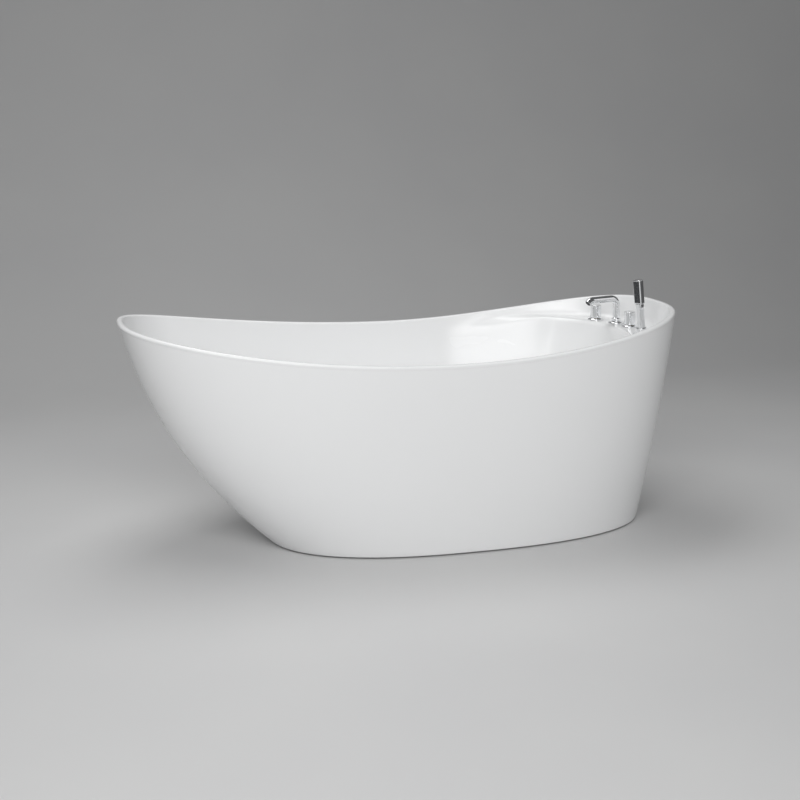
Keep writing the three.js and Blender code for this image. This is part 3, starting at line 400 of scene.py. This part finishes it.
def pipe(path, radius, wall, side, steps=64, edge=0.0006):
    """A tube along a path of points whose bends lie in the plane square to side."""

    def ring_row(i, size, back=0.0):
        ahead = (path[min(i + 1, len(path) - 1)] - path[max(i - 1, 0)]).normalized()
        up = side.cross(ahead)
        turns = np.linspace(0, 2 * math.pi, steps, endpoint=False)
        centre = path[i] - ahead * back
        return [centre + (side * math.cos(t) + up * math.sin(t)) * size for t in turns]

    last = len(path) - 1
    bore = radius - wall
    rows = [ring_row(i, radius) for i in range(last)]
    rows += [ring_row(last, radius, edge), ring_row(last, radius - edge)]
    rows += [ring_row(last, bore + edge), ring_row(last, bore, edge)]
    rows += [ring_row(i, bore) for i in range(last - 1, -1, -1)]
    return grid_mesh(rows)


def cap_rows(row):
    """Rows that close an end face, from its middle outwards."""
    return [[(x * share, y * share, z) for x, y, z in row] for share in (0.0, 0.6)]


def bar_mesh(thickness, width, corner, bottom, top, edge, waist=0.0):
    """An upright bar: its section has round corners, its ends are eased, its middle may be slimmer."""
    section = rounded_outline([
        (sx * thickness / 2, sy * width / 2, corner) for sx, sy in ((1, 1), (-1, 1), (-1, -1), (1, -1))
    ])
    ends = np.linspace(0, math.pi / 2, 7)
    levels = [(bottom + edge * (1 - math.sin(t)), edge * (1 - math.cos(t))) for t in ends[::-1]]
    for share in np.linspace(0.04, 0.96, 24):
        levels.append((mix(bottom, top, share), waist * math.sin(math.pi * share) ** 2))
    levels += [(top - edge * (1 - math.sin(t)), edge * (1 - math.cos(t))) for t in ends]
    rows = []
    for z, inset in levels:
        sx, sy = 1 - 2 * inset / thickness, 1 - 2 * inset / width
        rows.append([(p.x * sx, p.y * sy, z) for p in section])
    return grid_mesh(cap_rows(rows[0]) + rows + cap_rows(rows[-1])[::-1], close_rows=False)


def bent_path(corners, bend, bend_steps=10, spacing=0.012):
    """Points along straight runs between the corners, with round bends of one radius."""
    corners = [Vector(c) for c in corners]
    points = [corners[0]]

    def run_to(target):
        start = points[-1]
        parts = max(1, round((target - start).length / spacing))
        for part in range(1, parts + 1):
            points.append(start.lerp(target, part / parts))

    for before, here, after in zip(corners, corners[1:], corners[2:]):
        back = (before - here).normalized()
        on = (after - here).normalized()
        half = back.angle(on) / 2
        setback = bend / math.tan(half)
        centre = here + (back + on).normalized() * (bend / math.sin(half))
        start = here + back * setback
        run_to(start)
        turn = math.pi - 2 * half
        axis = back.cross(on).normalized()
        for step in range(1, bend_steps + 1):
            rotation = Matrix.Rotation(-turn * step / bend_steps, 3, axis)
            points.append(centre + rotation @ (start - centre))
    run_to(corners[-1])
    return points


# ---------------------------------------------------------------- the bath's curved surfaces

BASIN_LOW, BASIN_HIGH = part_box("inner_basin")
LENGTH = BASIN_HIGH.x - BASIN_LOW.x
WIDTH = BASIN_HIGH.y - BASIN_LOW.y
WIDEST_X = 0.135
RIM_ROUNDNESS = 2.73
LOWEST_X = 0.048
LOWEST_HEIGHT = 0.59
HEAD_HEIGHT = BASIN_HIGH.z
TAP_HEIGHT = 0.685
TAP_SWEEP = 0.29
LIP_WIDTH = 0.017
LIP_DEPTH = 0.012
LIP_ROUND = 0.007

BASE_HEAD_X = -0.423
BASE_TAP_X = 0.772
BASE_HALF_WIDTH = 0.307
BASE_ROUNDNESS = 2.4
HEAD_BULGE = 0.7
HEAD_BULGE_SKEW = 0.11
TAP_BULGE = 0.31
SIDE_BULGE = 0.36
SKIRT_WALL = 0.005
SKIRT_LIFT = 0.004
SKIRT_EDGE = 0.005
SEAM = 0.00015

BASIN_WALL = 0.006
FLOOR_HEIGHT = BASIN_LOW.z + BASIN_WALL
FOOT_HEAD_X = -0.43
FOOT_TAP_X = 0.655
FOOT_HALF_WIDTH = 0.24
FOOT_ROUNDNESS = 2.6
DISH = 8
WELL_HEAD_BULGE = 0.7
WELL_TAP_BULGE = 0.2
WELL_SIDE_BULGE = 0.36
WASTE_X = 0.33
WASTE_HOLE = 0.026
WASTE_SEAT = 0.042

DECK_HEIGHT = 0.6
LIP_CENTRE_X = 0.43
LIP_REACH = 0.273
LIP_HALF_WIDTH = 0.295
LIP_ROUNDNESS = 2.4
WALL_DRAFT = 0.012
FADE_START_X = 0.25
FADE_END_X = 0.6
LIP_LEVEL = 0.88
COVE_LEVEL = 0.94
DECK_LIP_ROUND = 0.016
DECK_COVE_ROUND = 0.02


def superellipse(angle, head_axis, tap_axis, half_width, roundness, centre_x):
    along, across = np.cos(angle), np.sin(angle)
    axis = np.where(along < 0, head_axis, tap_axis)
    power = 2 / roundness
    x = centre_x + axis * np.sign(along) * np.abs(along) ** power
    y = half_width * np.sign(across) * np.abs(across) ** power
    return x, y


def rim_plan(angle, inset=0.0):
    head_axis = LENGTH / 2 + WIDEST_X - inset
    tap_axis = LENGTH / 2 - WIDEST_X - inset
    return superellipse(angle, head_axis, tap_axis, WIDTH / 2 - inset, RIM_ROUNDNESS, WIDEST_X)


def base_plan(angle, inset=0.0):
    head_axis = WIDEST_X - BASE_HEAD_X - inset
    tap_axis = BASE_TAP_X - WIDEST_X - inset
    return superellipse(angle, head_axis, tap_axis, BASE_HALF_WIDTH - inset, BASE_ROUNDNESS, WIDEST_X)


def rim_height(angle):
    x, _ = rim_plan(angle)
    to_head = x < LOWEST_X
    head_share = (LOWEST_X - x) / (LENGTH / 2 + LOWEST_X)
    tap_share = (x - LOWEST_X) / (LENGTH / 2 - LOWEST_X)
    share = np.where(to_head, head_share, tap_share)
    rise = np.where(to_head, HEAD_HEIGHT, TAP_HEIGHT) - LOWEST_HEIGHT
    sweep = np.where(to_head, 0, TAP_SWEEP)
    return LOWEST_HEIGHT + rise * share ** 2 * (1 + sweep * (1 - share))


def bowed(share, bulge, skew=0.0):
    return share + share * (1 - share) * (bulge + skew * (1 - 2 * share))


def mix(a, b, share):
    return a + (b - a) * share


def headward(angle):
    return (1 - np.cos(angle)) / 2


def outer_points(angle, height, inset=0.0):
    """Points of the outer wall at the given heights, set in by the given amount."""
    share = height / rim_height(angle)
    base_x, base_y = base_plan(angle, inset)
    rim_x, rim_y = rim_plan(angle, inset)
    head_share = bowed(share, HEAD_BULGE, HEAD_BULGE_SKEW)
    along = mix(bowed(share, TAP_BULGE), head_share, headward(angle))
    x = mix(base_x, rim_x, along)
    y = mix(base_y, rim_y, bowed(share, SIDE_BULGE))
    return np.stack([x, y, height + 0 * x], axis=1)


def lerp(a, b, share):
    return a + (b - a) * np.asarray(share).reshape(-1, 1)


def flat_points(plan, height):
    x, y = plan
    return np.stack([x, y, height + 0 * x], axis=1)


def wall_points(foot, top, share, bulge_along, bulge_across):
    x = mix(foot[:, 0], top[:, 0], bowed(share, bulge_along))
    y = mix(foot[:, 1], top[:, 1], bowed(share, bulge_across))
    return np.stack([x, y, mix(foot[:, 2], top[:, 2], share)], axis=1)


def lengths(vectors):
    return np.linalg.norm(vectors, axis=1, keepdims=True)


def fillet_rows(before, corner, after, radius, steps):
    """Rows of a round corner, which is limited by the two walls that meet there."""
    back, on = before - corner, after - corner
    size = np.minimum(radius, 0.45 * np.minimum(lengths(back), lengths(on)))
    start = corner + back / lengths(back) * size
    end = corner + on / lengths(on) * size
    shares = np.linspace(0, 1, steps + 1)
    return [(1 - s) ** 2 * start + 2 * s * (1 - s) * corner + s ** 2 * end for s in shares]


def inside_rows(angle, floor_shares, wall_shares, round_steps):
    """Rows of the basin's inside, from the waste hole up to the rim."""
    x, _ = rim_plan(angle)
    fade = np.clip((x - FADE_START_X) / (FADE_END_X - FADE_START_X), 0, 1)
    share = fade * fade * (3 - 2 * fade)
    along = mix(WELL_SIDE_BULGE, WELL_HEAD_BULGE, headward(angle))
    edge = flat_points(rim_plan(angle, LIP_WIDTH), rim_height(angle) - LIP_ROUND)
    foot_plan = superellipse(
        angle, WIDEST_X - FOOT_HEAD_X, FOOT_TAP_X - WIDEST_X, FOOT_HALF_WIDTH, FOOT_ROUNDNESS, WIDEST_X
    )
    foot = flat_points(foot_plan, FLOOR_HEIGHT)
    lip_plan = superellipse(angle, LIP_REACH, LIP_REACH, LIP_HALF_WIDTH, LIP_ROUNDNESS, LIP_CENTRE_X)
    deck_corner = flat_points(rim_plan(angle, LIP_WIDTH + WALL_DRAFT), DECK_HEIGHT)
    side_lip = wall_points(foot, edge, LIP_LEVEL, along, WELL_SIDE_BULGE)
    side_cove = wall_points(foot, edge, COVE_LEVEL, along, WELL_SIDE_BULGE)
    lip = lerp(side_lip, flat_points(lip_plan, DECK_HEIGHT), share)
    cove = lerp(side_cove, deck_corner, share)

    def shortened(bulge):
        return bulge * LIP_LEVEL / (1 + bulge * (1 - LIP_LEVEL))

    well_along = mix(shortened(along), WELL_TAP_BULGE, share)
    well_across = mix(shortened(WELL_SIDE_BULGE), WELL_TAP_BULGE, share)
    centre = np.array([WASTE_X, 0, FLOOR_HEIGHT])

    def well_row(out, up):
        wall = wall_points(foot, lip, up, well_along, well_across)
        flat = np.stack([0 * wall[:, 0] + WASTE_X, 0 * wall[:, 1], wall[:, 2]], axis=1)
        return flat + (wall - flat) * out

    outward = foot - centre
    outward = outward / lengths(outward)
    rows = [centre + outward * radius for radius in (WASTE_HOLE, WASTE_HOLE + 0.001, WASTE_SEAT)]
    for out in floor_shares:
        rows.append(well_row(out, 1 - (1 - out ** DISH) ** (1 / DISH)))
    for up in wall_shares:
        rows.append(well_row((1 - (1 - up) ** DISH) ** (1 / DISH), up))
    lip_rows = fillet_rows(rows[-1], lip, cove, DECK_LIP_ROUND, round_steps)
    cove_rows = fillet_rows(lip, cove, edge, DECK_COVE_ROUND, round_steps)
    deck_rows = [mix(lip_rows[-1], cove_rows[0], s) for s in (0.08, 0.35, 0.65, 0.92)]
    wall_rows = [mix(cove_rows[-1], edge, s) for s in (0.1, 0.4, 0.7, 0.92)]
    return rows + lip_rows + deck_rows + cove_rows + wall_rows + [edge]


def lip_rows(angle, steps=7):
    """Rows of the rolled rim, from its inner edge over the top to its outer lower edge."""
    height = rim_height(angle)

    def arc_row(inset, turn, side):
        plan = rim_plan(angle, inset + side * LIP_ROUND * math.cos(turn))
        return flat_points(plan, height - LIP_ROUND + LIP_ROUND * math.sin(turn))

    quarter = np.linspace(0, math.pi / 2, steps)
    rows = [arc_row(LIP_WIDTH - LIP_ROUND, turn, 1) for turn in quarter[1:]]
    rows += [arc_row(LIP_ROUND, turn, -1) for turn in quarter[::-1]]
    rows.append(outer_points(angle, height - LIP_DEPTH))
    rows.append(flat_points(rim_plan(angle, LIP_WIDTH - BASIN_WALL), height - LIP_DEPTH))
    return rows


AROUND = 480
ANGLES = np.linspace(0, 2 * math.pi, AROUND, endpoint=False)


def basin_mesh():
    floor_shares = 1 - np.array([0.72, 0.5, 0.36, 0.26, 0.19, 0.14, 0.1, 0.07, 0.045, 0.028, 0.015])
    wall_shares = np.array([0.31, 0.4, 0.5, 0.6, 0.7, 0.79, 0.86, 0.92])
    rows = inside_rows(ANGLES, floor_shares, wall_shares, 8)
    grid = np.array(rows)
    along = np.roll(grid, -1, axis=1) - np.roll(grid, 1, axis=1)
    up = np.roll(grid, -1, axis=0) - np.roll(grid, 1, axis=0)
    outward = np.cross(along, up)
    outward /= np.linalg.norm(outward, axis=2, keepdims=True)
    under = [grid[j] + outward[j] * BASIN_WALL for j in range(len(rows) - 4, 0, -2)]
    under.append(grid[0] - np.array([0, 0, BASIN_WALL]))
    return grid_mesh(rows + lip_rows(ANGLES) + under)


def skirt_mesh():
    top = rim_height(ANGLES) - LIP_DEPTH - SEAM
    low, round_ = SKIRT_LIFT, SKIRT_EDGE
    rows = []
    for turn in np.linspace(0, math.pi / 2, 6):
        inset = round_ * (1 - math.sin(turn))
        rows.append(outer_points(ANGLES, low + round_ * (1 - math.cos(turn)), inset))
    levels = np.linspace(0, 1, 36)[1:]
    rows += [outer_points(ANGLES, mix(low + round_, top, level)) for level in levels]
    inner_levels = np.linspace(1, 0, 12)
    rows += [outer_points(ANGLES, mix(low, top, level), SKIRT_WALL) for level in inner_levels]
    return grid_mesh(rows)


TAP_HOLE = 0.017
OVERFLOW_HOLE = 0.02
OVERFLOW_DROP = 0.08  # below the deck


def place_of(node):
    """The plan position of a node's middle."""
    low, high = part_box(node)
    return (low.x + high.x) / 2, (low.y + high.y) / 2


def overflow_frame():
    """The overflow's own frame: its +Z points out through the middle of the tap-end wall."""
    rows = inside_rows(np.array([0.0]), [], [0.5, 0.9], 2)
    low, high = rows[3][0], rows[4][0]
    height = DECK_HEIGHT - OVERFLOW_DROP
    seat = mix(low, high, (height - low[2]) / (high[2] - low[2]))
    lean = math.atan2(high[0] - low[0], high[2] - low[2])
    return Matrix.Translation(seat) @ Matrix.Rotation(math.pi / 2 + lean, 4, "Y")


def hole_tools():
    """Cutters for the four tap holes and the overflow's hole."""
    depth = 0.018

    def cutter(radius, matrix):
        outline = [(0, -depth, 0), (radius, -depth, 0), (radius, depth, 0), (0, depth, 0)]
        return moved(turned(outline), matrix)

    tools = [
        cutter(TAP_HOLE, at(*place_of(f"{name}_washer"), DECK_HEIGHT))
        for name in ("flow", "spout", "diverter", "handset")
    ]
    return tools + [cutter(OVERFLOW_HOLE, overflow_frame())]


def build_bath():
    make_piece("basin_fine", cut_mesh(basin_mesh(), hole_tools()), "inner_basin")
    make_piece("skirt_fine", skirt_mesh(), "outer_skirt")


# ---------------------------------------------------------------- the filler on the deck

GAP = 0.0003  # between fixed parts
RUNNING = 0.0004  # between parts that move
FLANGE_BOTTOM = DECK_HEIGHT + GAP
FLANGE_TOP = FLANGE_BOTTOM + 0.006
FLANGE_RADIUS = 0.026
FLANGE_BEVEL = 0.0026

VALVE_BORE = 0.0143  # of the knobs' flanges
SHANK_BORE = 0.0123  # of the spout's flange

KNOB_RADIUS = 0.018
KNOB_BOTTOM = FLANGE_TOP + 0.001
KNOB_TOP = KNOB_BOTTOM + 0.042
KNOB_BORE = 0.0064
KNOB_BORE_TOP = KNOB_BOTTOM + 0.029
GROOVE_TOP = KNOB_TOP - 0.008
GROOVE_BOTTOM = GROOVE_TOP - 0.0016
GROOVE_DEPTH = 0.0012

SPOUT_TURN = 15.4
SPOUT_RADIUS = 0.011
SPOUT_WALL = 0.002
SPOUT_BOTTOM = FLANGE_TOP + RUNNING
SPOUT_LEVEL = DECK_HEIGHT + 0.082
SPOUT_REACH = 0.12
SPOUT_BEND = 0.026
OUTLET_TURN = 40
TIP_LENGTH = 0.014
COLLAR_RADIUS = 0.014
COLLAR_TOP = SPOUT_BOTTOM + 0.012
AERATOR_RADIUS = 0.0082
AERATOR_PROUD = 0.0008
AERATOR_DEPTH = 0.0037
OUTLET_RINGS = ((0.0, 1), (0.0022, 6), (0.0044, 12), (0.0060, 18))  # radius and count

HANDSET_LEAN = -6.7
FACE_TURN = 205
HOLDER_RADIUS = 0.016
HOLDER_BORE = 0.0115
HOLDER_HEIGHT = 0.018
HOLDER_SUNK = 0.004  # how far the collar starts below the flange's top
GUIDE_BORE = HOLDER_BORE + 0.001
GUIDE_RADIUS = 0.0161
GUIDE_BOTTOM = FLANGE_TOP - 0.0463
CONNECTOR_RADIUS = 0.0105
CONNECTOR_BOTTOM = HOLDER_HEIGHT - 0.024
HANDLE_BOTTOM = HOLDER_HEIGHT + GAP
HANDLE_TOP = HANDLE_BOTTOM + 0.075
HANDLE_SIZE = (0.019, 0.023)
HEAD_BOTTOM = HANDLE_TOP + GAP
HEAD_TOP = HEAD_BOTTOM + 0.074
HEAD_SIZE = (0.02, 0.029)
BAR_CORNER = 0.0065
FACE_INSET = 0.0035
FACE_DEPTH = 0.0025
PLATE_THICKNESS = FACE_DEPTH - 0.0013
NOZZLE_ROWS, NOZZLE_COLUMNS = 9, 3
NOZZLE_ROW_PITCH, NOZZLE_COLUMN_PITCH = 0.0068, 0.0062


def flange_mesh(bore):
    return turned([
        (bore, FLANGE_BOTTOM, 0),
        (FLANGE_RADIUS, FLANGE_BOTTOM, 0.0006),
        (FLANGE_RADIUS, FLANGE_TOP - FLANGE_BEVEL, 0.0012),
        (FLANGE_RADIUS - FLANGE_BEVEL, FLANGE_TOP, 0.0016),
        (bore, FLANGE_TOP, 0.0003),
    ])


def knob_mesh():
    """A cylinder with a fine groove below its cap, a dished top and the bore for the valve's stem."""
    core = KNOB_RADIUS - GROOVE_DEPTH
    return turned([
        (0, KNOB_BORE_TOP, 0),
        (KNOB_BORE, KNOB_BORE_TOP, 0),
        (KNOB_BORE, KNOB_BOTTOM, 0.0003),
        (KNOB_RADIUS, KNOB_BOTTOM, 0.0014),
        (KNOB_RADIUS, GROOVE_BOTTOM, 0.0004),
        (core, GROOVE_BOTTOM, 0),
        (core, GROOVE_TOP, 0),
        (KNOB_RADIUS, GROOVE_TOP, 0.0004),
        (KNOB_RADIUS, KNOB_TOP, 0.0016),
        (KNOB_RADIUS - 0.0035, KNOB_TOP, 0.0006),
        (KNOB_RADIUS - 0.0045, KNOB_TOP - 0.0005, 0.0006),
        (0, KNOB_TOP - 0.0007, 0),
    ])


def spout_path():
    turn = math.radians(OUTLET_TURN)
    bend_at = Vector((SPOUT_REACH - TIP_LENGTH * math.cos(turn), 0, SPOUT_LEVEL))
    end = bend_at + Vector((math.cos(turn), 0, -math.sin(turn))) * TIP_LENGTH
    corners = [(0, 0, SPOUT_BOTTOM), (0, 0, SPOUT_LEVEL), bend_at, end]
    return bent_path(corners, SPOUT_BEND, bend_steps=20)


def collar_mesh():
    bore = SPOUT_RADIUS - SPOUT_WALL
    return turned([
        (bore, SPOUT_BOTTOM, 0),
        (COLLAR_RADIUS, SPOUT_BOTTOM, 0.0005),
        (COLLAR_RADIUS, COLLAR_TOP - 0.002, 0.001),
        (SPOUT_RADIUS + 0.0005, COLLAR_TOP, 0.0006),
        (bore, COLLAR_TOP, 0),
    ])


def aerator_mesh():
    """A disc with a rim, ringed steps and a field of small outlets; its face looks along -Z."""
    face = -AERATOR_PROUD
    disc = turned([
        (0, AERATOR_DEPTH, 0),
        (AERATOR_RADIUS, AERATOR_DEPTH, 0.0003),
        (AERATOR_RADIUS, face, 0.0004),
        (AERATOR_RADIUS - 0.0012, face, 0.0002),
        (AERATOR_RADIUS - 0.0014, face + 0.0006, 0.0002),
        (0, face + 0.0006, 0),
    ])
    outlets = []
    for ring, count in OUTLET_RINGS:
        for i in range(count):
            turn = 2 * math.pi * i / count
            outlet = turned([
                (0, face + 0.001, 0), (0.0007, face + 0.001, 0), (0.0006, face + 0.0001, 0.0001),
                (0.0003, face + 0.0001, 0), (0, face + 0.0005, 0),
            ], 10)
            outlets.append(moved(outlet, at(ring * math.cos(turn), ring * math.sin(turn))))
    return joined(disc, *outlets)


def build_taps():
    for name in ("flow", "diverter"):
        spot = at(*place_of(f"{name}_flange"))
        make_piece(f"{name}_knob_fine", moved(knob_mesh(), spot), f"{name}_knob")
        make_piece(f"{name}_flange_fine", moved(flange_mesh(VALVE_BORE), spot), f"{name}_flange")


def build_spout():
    spot = at(*place_of("spout_flange")) @ about("Z", SPOUT_TURN + 180)
    make_piece("spout_flange_fine", moved(flange_mesh(SHANK_BORE), spot), "spout_flange")
    path = spout_path()
    tube = pipe(path, SPOUT_RADIUS, SPOUT_WALL, Vector((0, 1, 0)))
    make_piece("spout_tube_fine", moved(joined(tube, collar_mesh()), spot), "spout_tube")
    tip = spot @ Matrix.Translation(path[-1]) @ about("Y", OUTLET_TURN - 90)
    make_piece("spout_aerator_fine", moved(aerator_mesh(), tip), "spout_aerator")


def holder_mesh():
    collar = turned([
        (HOLDER_BORE, -HOLDER_SUNK, 0),
        (HOLDER_RADIUS, -HOLDER_SUNK, 0),
        (HOLDER_RADIUS, HOLDER_HEIGHT, 0.0014),
        (HOLDER_BORE, HOLDER_HEIGHT, 0.0006),
    ])
    guide = turned([
        (GUIDE_BORE, GUIDE_BOTTOM, 0.0004),
        (GUIDE_RADIUS, GUIDE_BOTTOM, 0.0006),
        (GUIDE_RADIUS, FLANGE_BOTTOM + 0.001, 0),
        (GUIDE_BORE, FLANGE_BOTTOM + 0.001, 0),
    ])
    leaned = moved(collar, at(0, 0, FLANGE_TOP) @ about("Y", HANDSET_LEAN))
    return joined(flange_mesh(GUIDE_BORE), guide, leaned)


def handle_mesh():
    grip = bar_mesh(*HANDLE_SIZE, BAR_CORNER, HANDLE_BOTTOM, HANDLE_TOP, 0.0008, waist=0.0006)
    connector = turned([
        (0, CONNECTOR_BOTTOM, 0),
        (CONNECTOR_RADIUS, CONNECTOR_BOTTOM, 0.001),
        (CONNECTOR_RADIUS, HANDLE_BOTTOM + 0.001, 0),
        (0, HANDLE_BOTTOM + 0.001, 0),
    ])
    return joined(moved(grip, about("Z", FACE_TURN)), connector)


def face_box(thickness, back, inset, corner):
    """A slab across the head's spray side, from its back plane outwards."""
    height = HEAD_TOP - HEAD_BOTTOM - 2 * inset
    slab = bar_mesh(height, HEAD_SIZE[1] - 2 * inset, corner, 0, thickness, 0.0002)
    return moved(slab, at(back, 0, (HEAD_BOTTOM + HEAD_TOP) / 2) @ about("Y", 90))


def head_mesh():
    head = bar_mesh(*HEAD_SIZE, BAR_CORNER, HEAD_BOTTOM, HEAD_TOP, 0.0022)
    back = HEAD_SIZE[0] / 2 - FACE_DEPTH
    recess = face_box(0.01, back, FACE_INSET, 0.0015)
    return moved(cut_mesh(head, [recess]), about("Z", FACE_TURN))


def spray_mesh():
    """The spray plate with its field of soft nozzles."""
    back = HEAD_SIZE[0] / 2 - FACE_DEPTH + GAP
    plate = face_box(PLATE_THICKNESS, back, FACE_INSET + GAP, 0.0013)
    front = back + PLATE_THICKNESS
    middle = (HEAD_BOTTOM + HEAD_TOP) / 2
    nozzles = []
    for row in range(NOZZLE_ROWS):
        for column in range(NOZZLE_COLUMNS):
            nozzle = turned([
                (0, -0.0005, 0), (0.0013, -0.0005, 0), (0.0010, 0.0007, 0.0003),
                (0.0004, 0.0007, 0.0001), (0, 0.0002, 0),
            ], 14)
            y = (column - (NOZZLE_COLUMNS - 1) / 2) * NOZZLE_COLUMN_PITCH
            z = middle + (row - (NOZZLE_ROWS - 1) / 2) * NOZZLE_ROW_PITCH
            nozzles.append(moved(nozzle, at(front, y, z) @ about("Y", 90)))
    return moved(joined(plate, *nozzles), about("Z", FACE_TURN))


def build_handset():
    spot = at(*place_of("handset_washer"))
    make_piece("handset_holder_fine", moved(holder_mesh(), spot), "handset_holder")
    stick = spot @ at(0, 0, FLANGE_TOP) @ about("Y", HANDSET_LEAN)
    make_piece("handset_handle_fine", moved(handle_mesh(), stick), "handset_handle")
    make_piece("handset_head_fine", moved(head_mesh(), stick), "handset_head")
    make_piece("handset_face_fine", moved(spray_mesh(), stick), "handset_face")


# ---------------------------------------------------------------- the waste and the overflow

WASTE_BORE = 0.021
WASTE_TAIL = 0.025
WASTE_FLANGE = 0.036
WASTE_BOTTOM = FLOOR_HEIGHT + GAP
WASTE_TOP = WASTE_BOTTOM + 0.003
TAIL_BOTTOM = FLOOR_HEIGHT - 0.058
SPOKE_TOP = WASTE_TOP - 0.016
SPOKE_BOTTOM = SPOKE_TOP - 0.006
SPOKE_WIDTH = 0.005
HUB_RADIUS = 0.009
HUB_BOTTOM = SPOKE_BOTTOM - 0.004
STEM_GUIDE = 0.0054
PLUG_RADIUS = WASTE_BORE + 0.01
PLUG_BOTTOM = WASTE_TOP + RUNNING
PLUG_TOP = PLUG_BOTTOM + 0.005
STEM_RADIUS = 0.005
STEM_BOTTOM = PLUG_TOP - 0.042

COVER_RADIUS = 0.034
COVER_FRONT = -0.014
COVER_BACK = -0.005
COVER_WALL = 0.002
COVER_PLATE = 0.003
COVER_POST = 0.003


def waste_mesh():
    flange = turned([
        (WASTE_BORE, TAIL_BOTTOM, 0.0003),
        (WASTE_TAIL, TAIL_BOTTOM, 0.0003),
        (WASTE_TAIL, WASTE_BOTTOM, 0),
        (WASTE_FLANGE, WASTE_BOTTOM, 0.0003),
        (WASTE_FLANGE - 0.0014, WASTE_TOP, 0.001),
        (WASTE_BORE + 0.002, WASTE_TOP, 0.001),
        (WASTE_BORE, WASTE_TOP - 0.002, 0.001),
    ])
    hub = turned([
        (STEM_GUIDE, HUB_BOTTOM, 0.0003),
        (HUB_RADIUS, HUB_BOTTOM, 0.0006),
        (HUB_RADIUS, SPOKE_TOP, 0.0006),
        (STEM_GUIDE, SPOKE_TOP, 0.0003),
    ])
    spokes = []
    for quarter in range(4):
        length = WASTE_BORE - HUB_RADIUS + 0.002
        spoke = bar_mesh(length, SPOKE_WIDTH, 0.0003, SPOKE_BOTTOM, SPOKE_TOP, 0.0004)
        out = about("Z", 90 * quarter) @ at(HUB_RADIUS - 0.001 + length / 2, 0)
        spokes.append(moved(spoke, out))
    return joined(flange, hub, *spokes)


def plug_mesh():
    return turned([
        (0, STEM_BOTTOM, 0),
        (STEM_RADIUS, STEM_BOTTOM, 0.0008),
        (STEM_RADIUS, PLUG_BOTTOM, 0),
        (PLUG_RADIUS, PLUG_BOTTOM, 0.0006),
        (PLUG_RADIUS, PLUG_TOP - 0.0024, 0.0012),
        (PLUG_RADIUS * 0.8, PLUG_TOP - 0.0012, 0.004),
        (PLUG_RADIUS * 0.45, PLUG_TOP - 0.0004, 0.005),
        (0, PLUG_TOP, 0),
    ])


def cover_mesh():
    """The overflow's cap, which stands off the wall on a post, so that water runs in behind it."""
    plate_back = COVER_FRONT + COVER_PLATE
    return turned([
        (0, COVER_FRONT, 0),
        (COVER_RADIUS - 0.006, COVER_FRONT, 0.004),
        (COVER_RADIUS, COVER_FRONT + 0.0022, 0.0022),
        (COVER_RADIUS, COVER_BACK, 0.0005),
        (COVER_RADIUS - COVER_WALL, COVER_BACK, 0.0005),
        (COVER_RADIUS - COVER_WALL, plate_back, 0.0008),
        (COVER_POST, plate_back, 0.0005),
        (COVER_POST, BASIN_WALL, 0.0003),
        (0, BASIN_WALL, 0),
    ])


def build_waste():
    spot = at(*place_of("waste_flange"))
    make_piece("waste_flange_fine", moved(waste_mesh(), spot), "waste_flange")
    make_piece("waste_plug_fine", moved(plug_mesh(), spot), "waste_plug")
    make_piece("overflow_cover_fine", moved(cover_mesh(), overflow_frame()), "overflow_cover")


# ---------------------------------------------------------------- the stage

def add_light(name, place, aim, size, energy, color=(1, 1, 1)):
    data = bpy.data.lights.new(name, "AREA")
    data.shape = "RECTANGLE"
    data.size, data.size_y = size
    data.energy = energy
    data.color = color
    light = bpy.data.objects.new(name, data)
    light.location = place
    light.rotation_euler = (Vector(aim) - Vector(place)).to_track_quat("-Z", "Y").to_euler()
    bpy.context.scene.collection.objects.link(light)


def build_stage():
    """A wide floor that curves up into a wall far behind the bath, one large key light and two small ones."""
    half_width, front, back, height, bend = 14, -9, 5, 9, 3
    profile = [(front, 0.0), (back - bend, 0.0)]
    for turn in np.linspace(0, math.pi / 2, 25)[1:]:
        profile.append((back - bend + bend * math.sin(turn), bend * (1 - math.cos(turn))))
    profile.append((back, height))
    points = [(x, y, z) for y, z in profile for x in (-half_width, half_width)]
    faces = [(2 * i, 2 * i + 1, 2 * i + 3, 2 * i + 2) for i in range(len(profile) - 1)]
    mesh = bpy.data.meshes.new("studio_sweep")
    mesh.from_pydata(points, [], faces)
    for polygon in mesh.polygons:
        polygon.use_smooth = True
    sweep = bpy.data.objects.new("studio_sweep", mesh)
    mesh.materials.append(make_floor())
    bpy.context.scene.collection.objects.link(sweep)

    world = bpy.data.worlds.new("studio")
    world.use_nodes = True
    world.node_tree.nodes["Background"].inputs["Color"].default_value = (0.78, 0.79, 0.8, 1)
    world.node_tree.nodes["Background"].inputs["Strength"].default_value = 0.14
    bpy.context.scene.world = world
    add_light("key", (-1.4, -4.6, 3.0), (0, 0, 0.35), (4.6, 3.4), 196)
    add_light("overhead", (-0.5, 0.5, 3.3), (0, 0, 0.3), (2.6, 1.4), 44)
    add_light("fill", (3.6, -1.4, 1.8), (0.2, 0, 0.4), (1.2, 1.8), 5)
    bpy.context.scene.view_settings.view_transform = "Standard"


make_camera()
dress_cad_nodes()
build_bath()
build_taps()
build_spout()
build_handset()
build_waste()
build_stage()
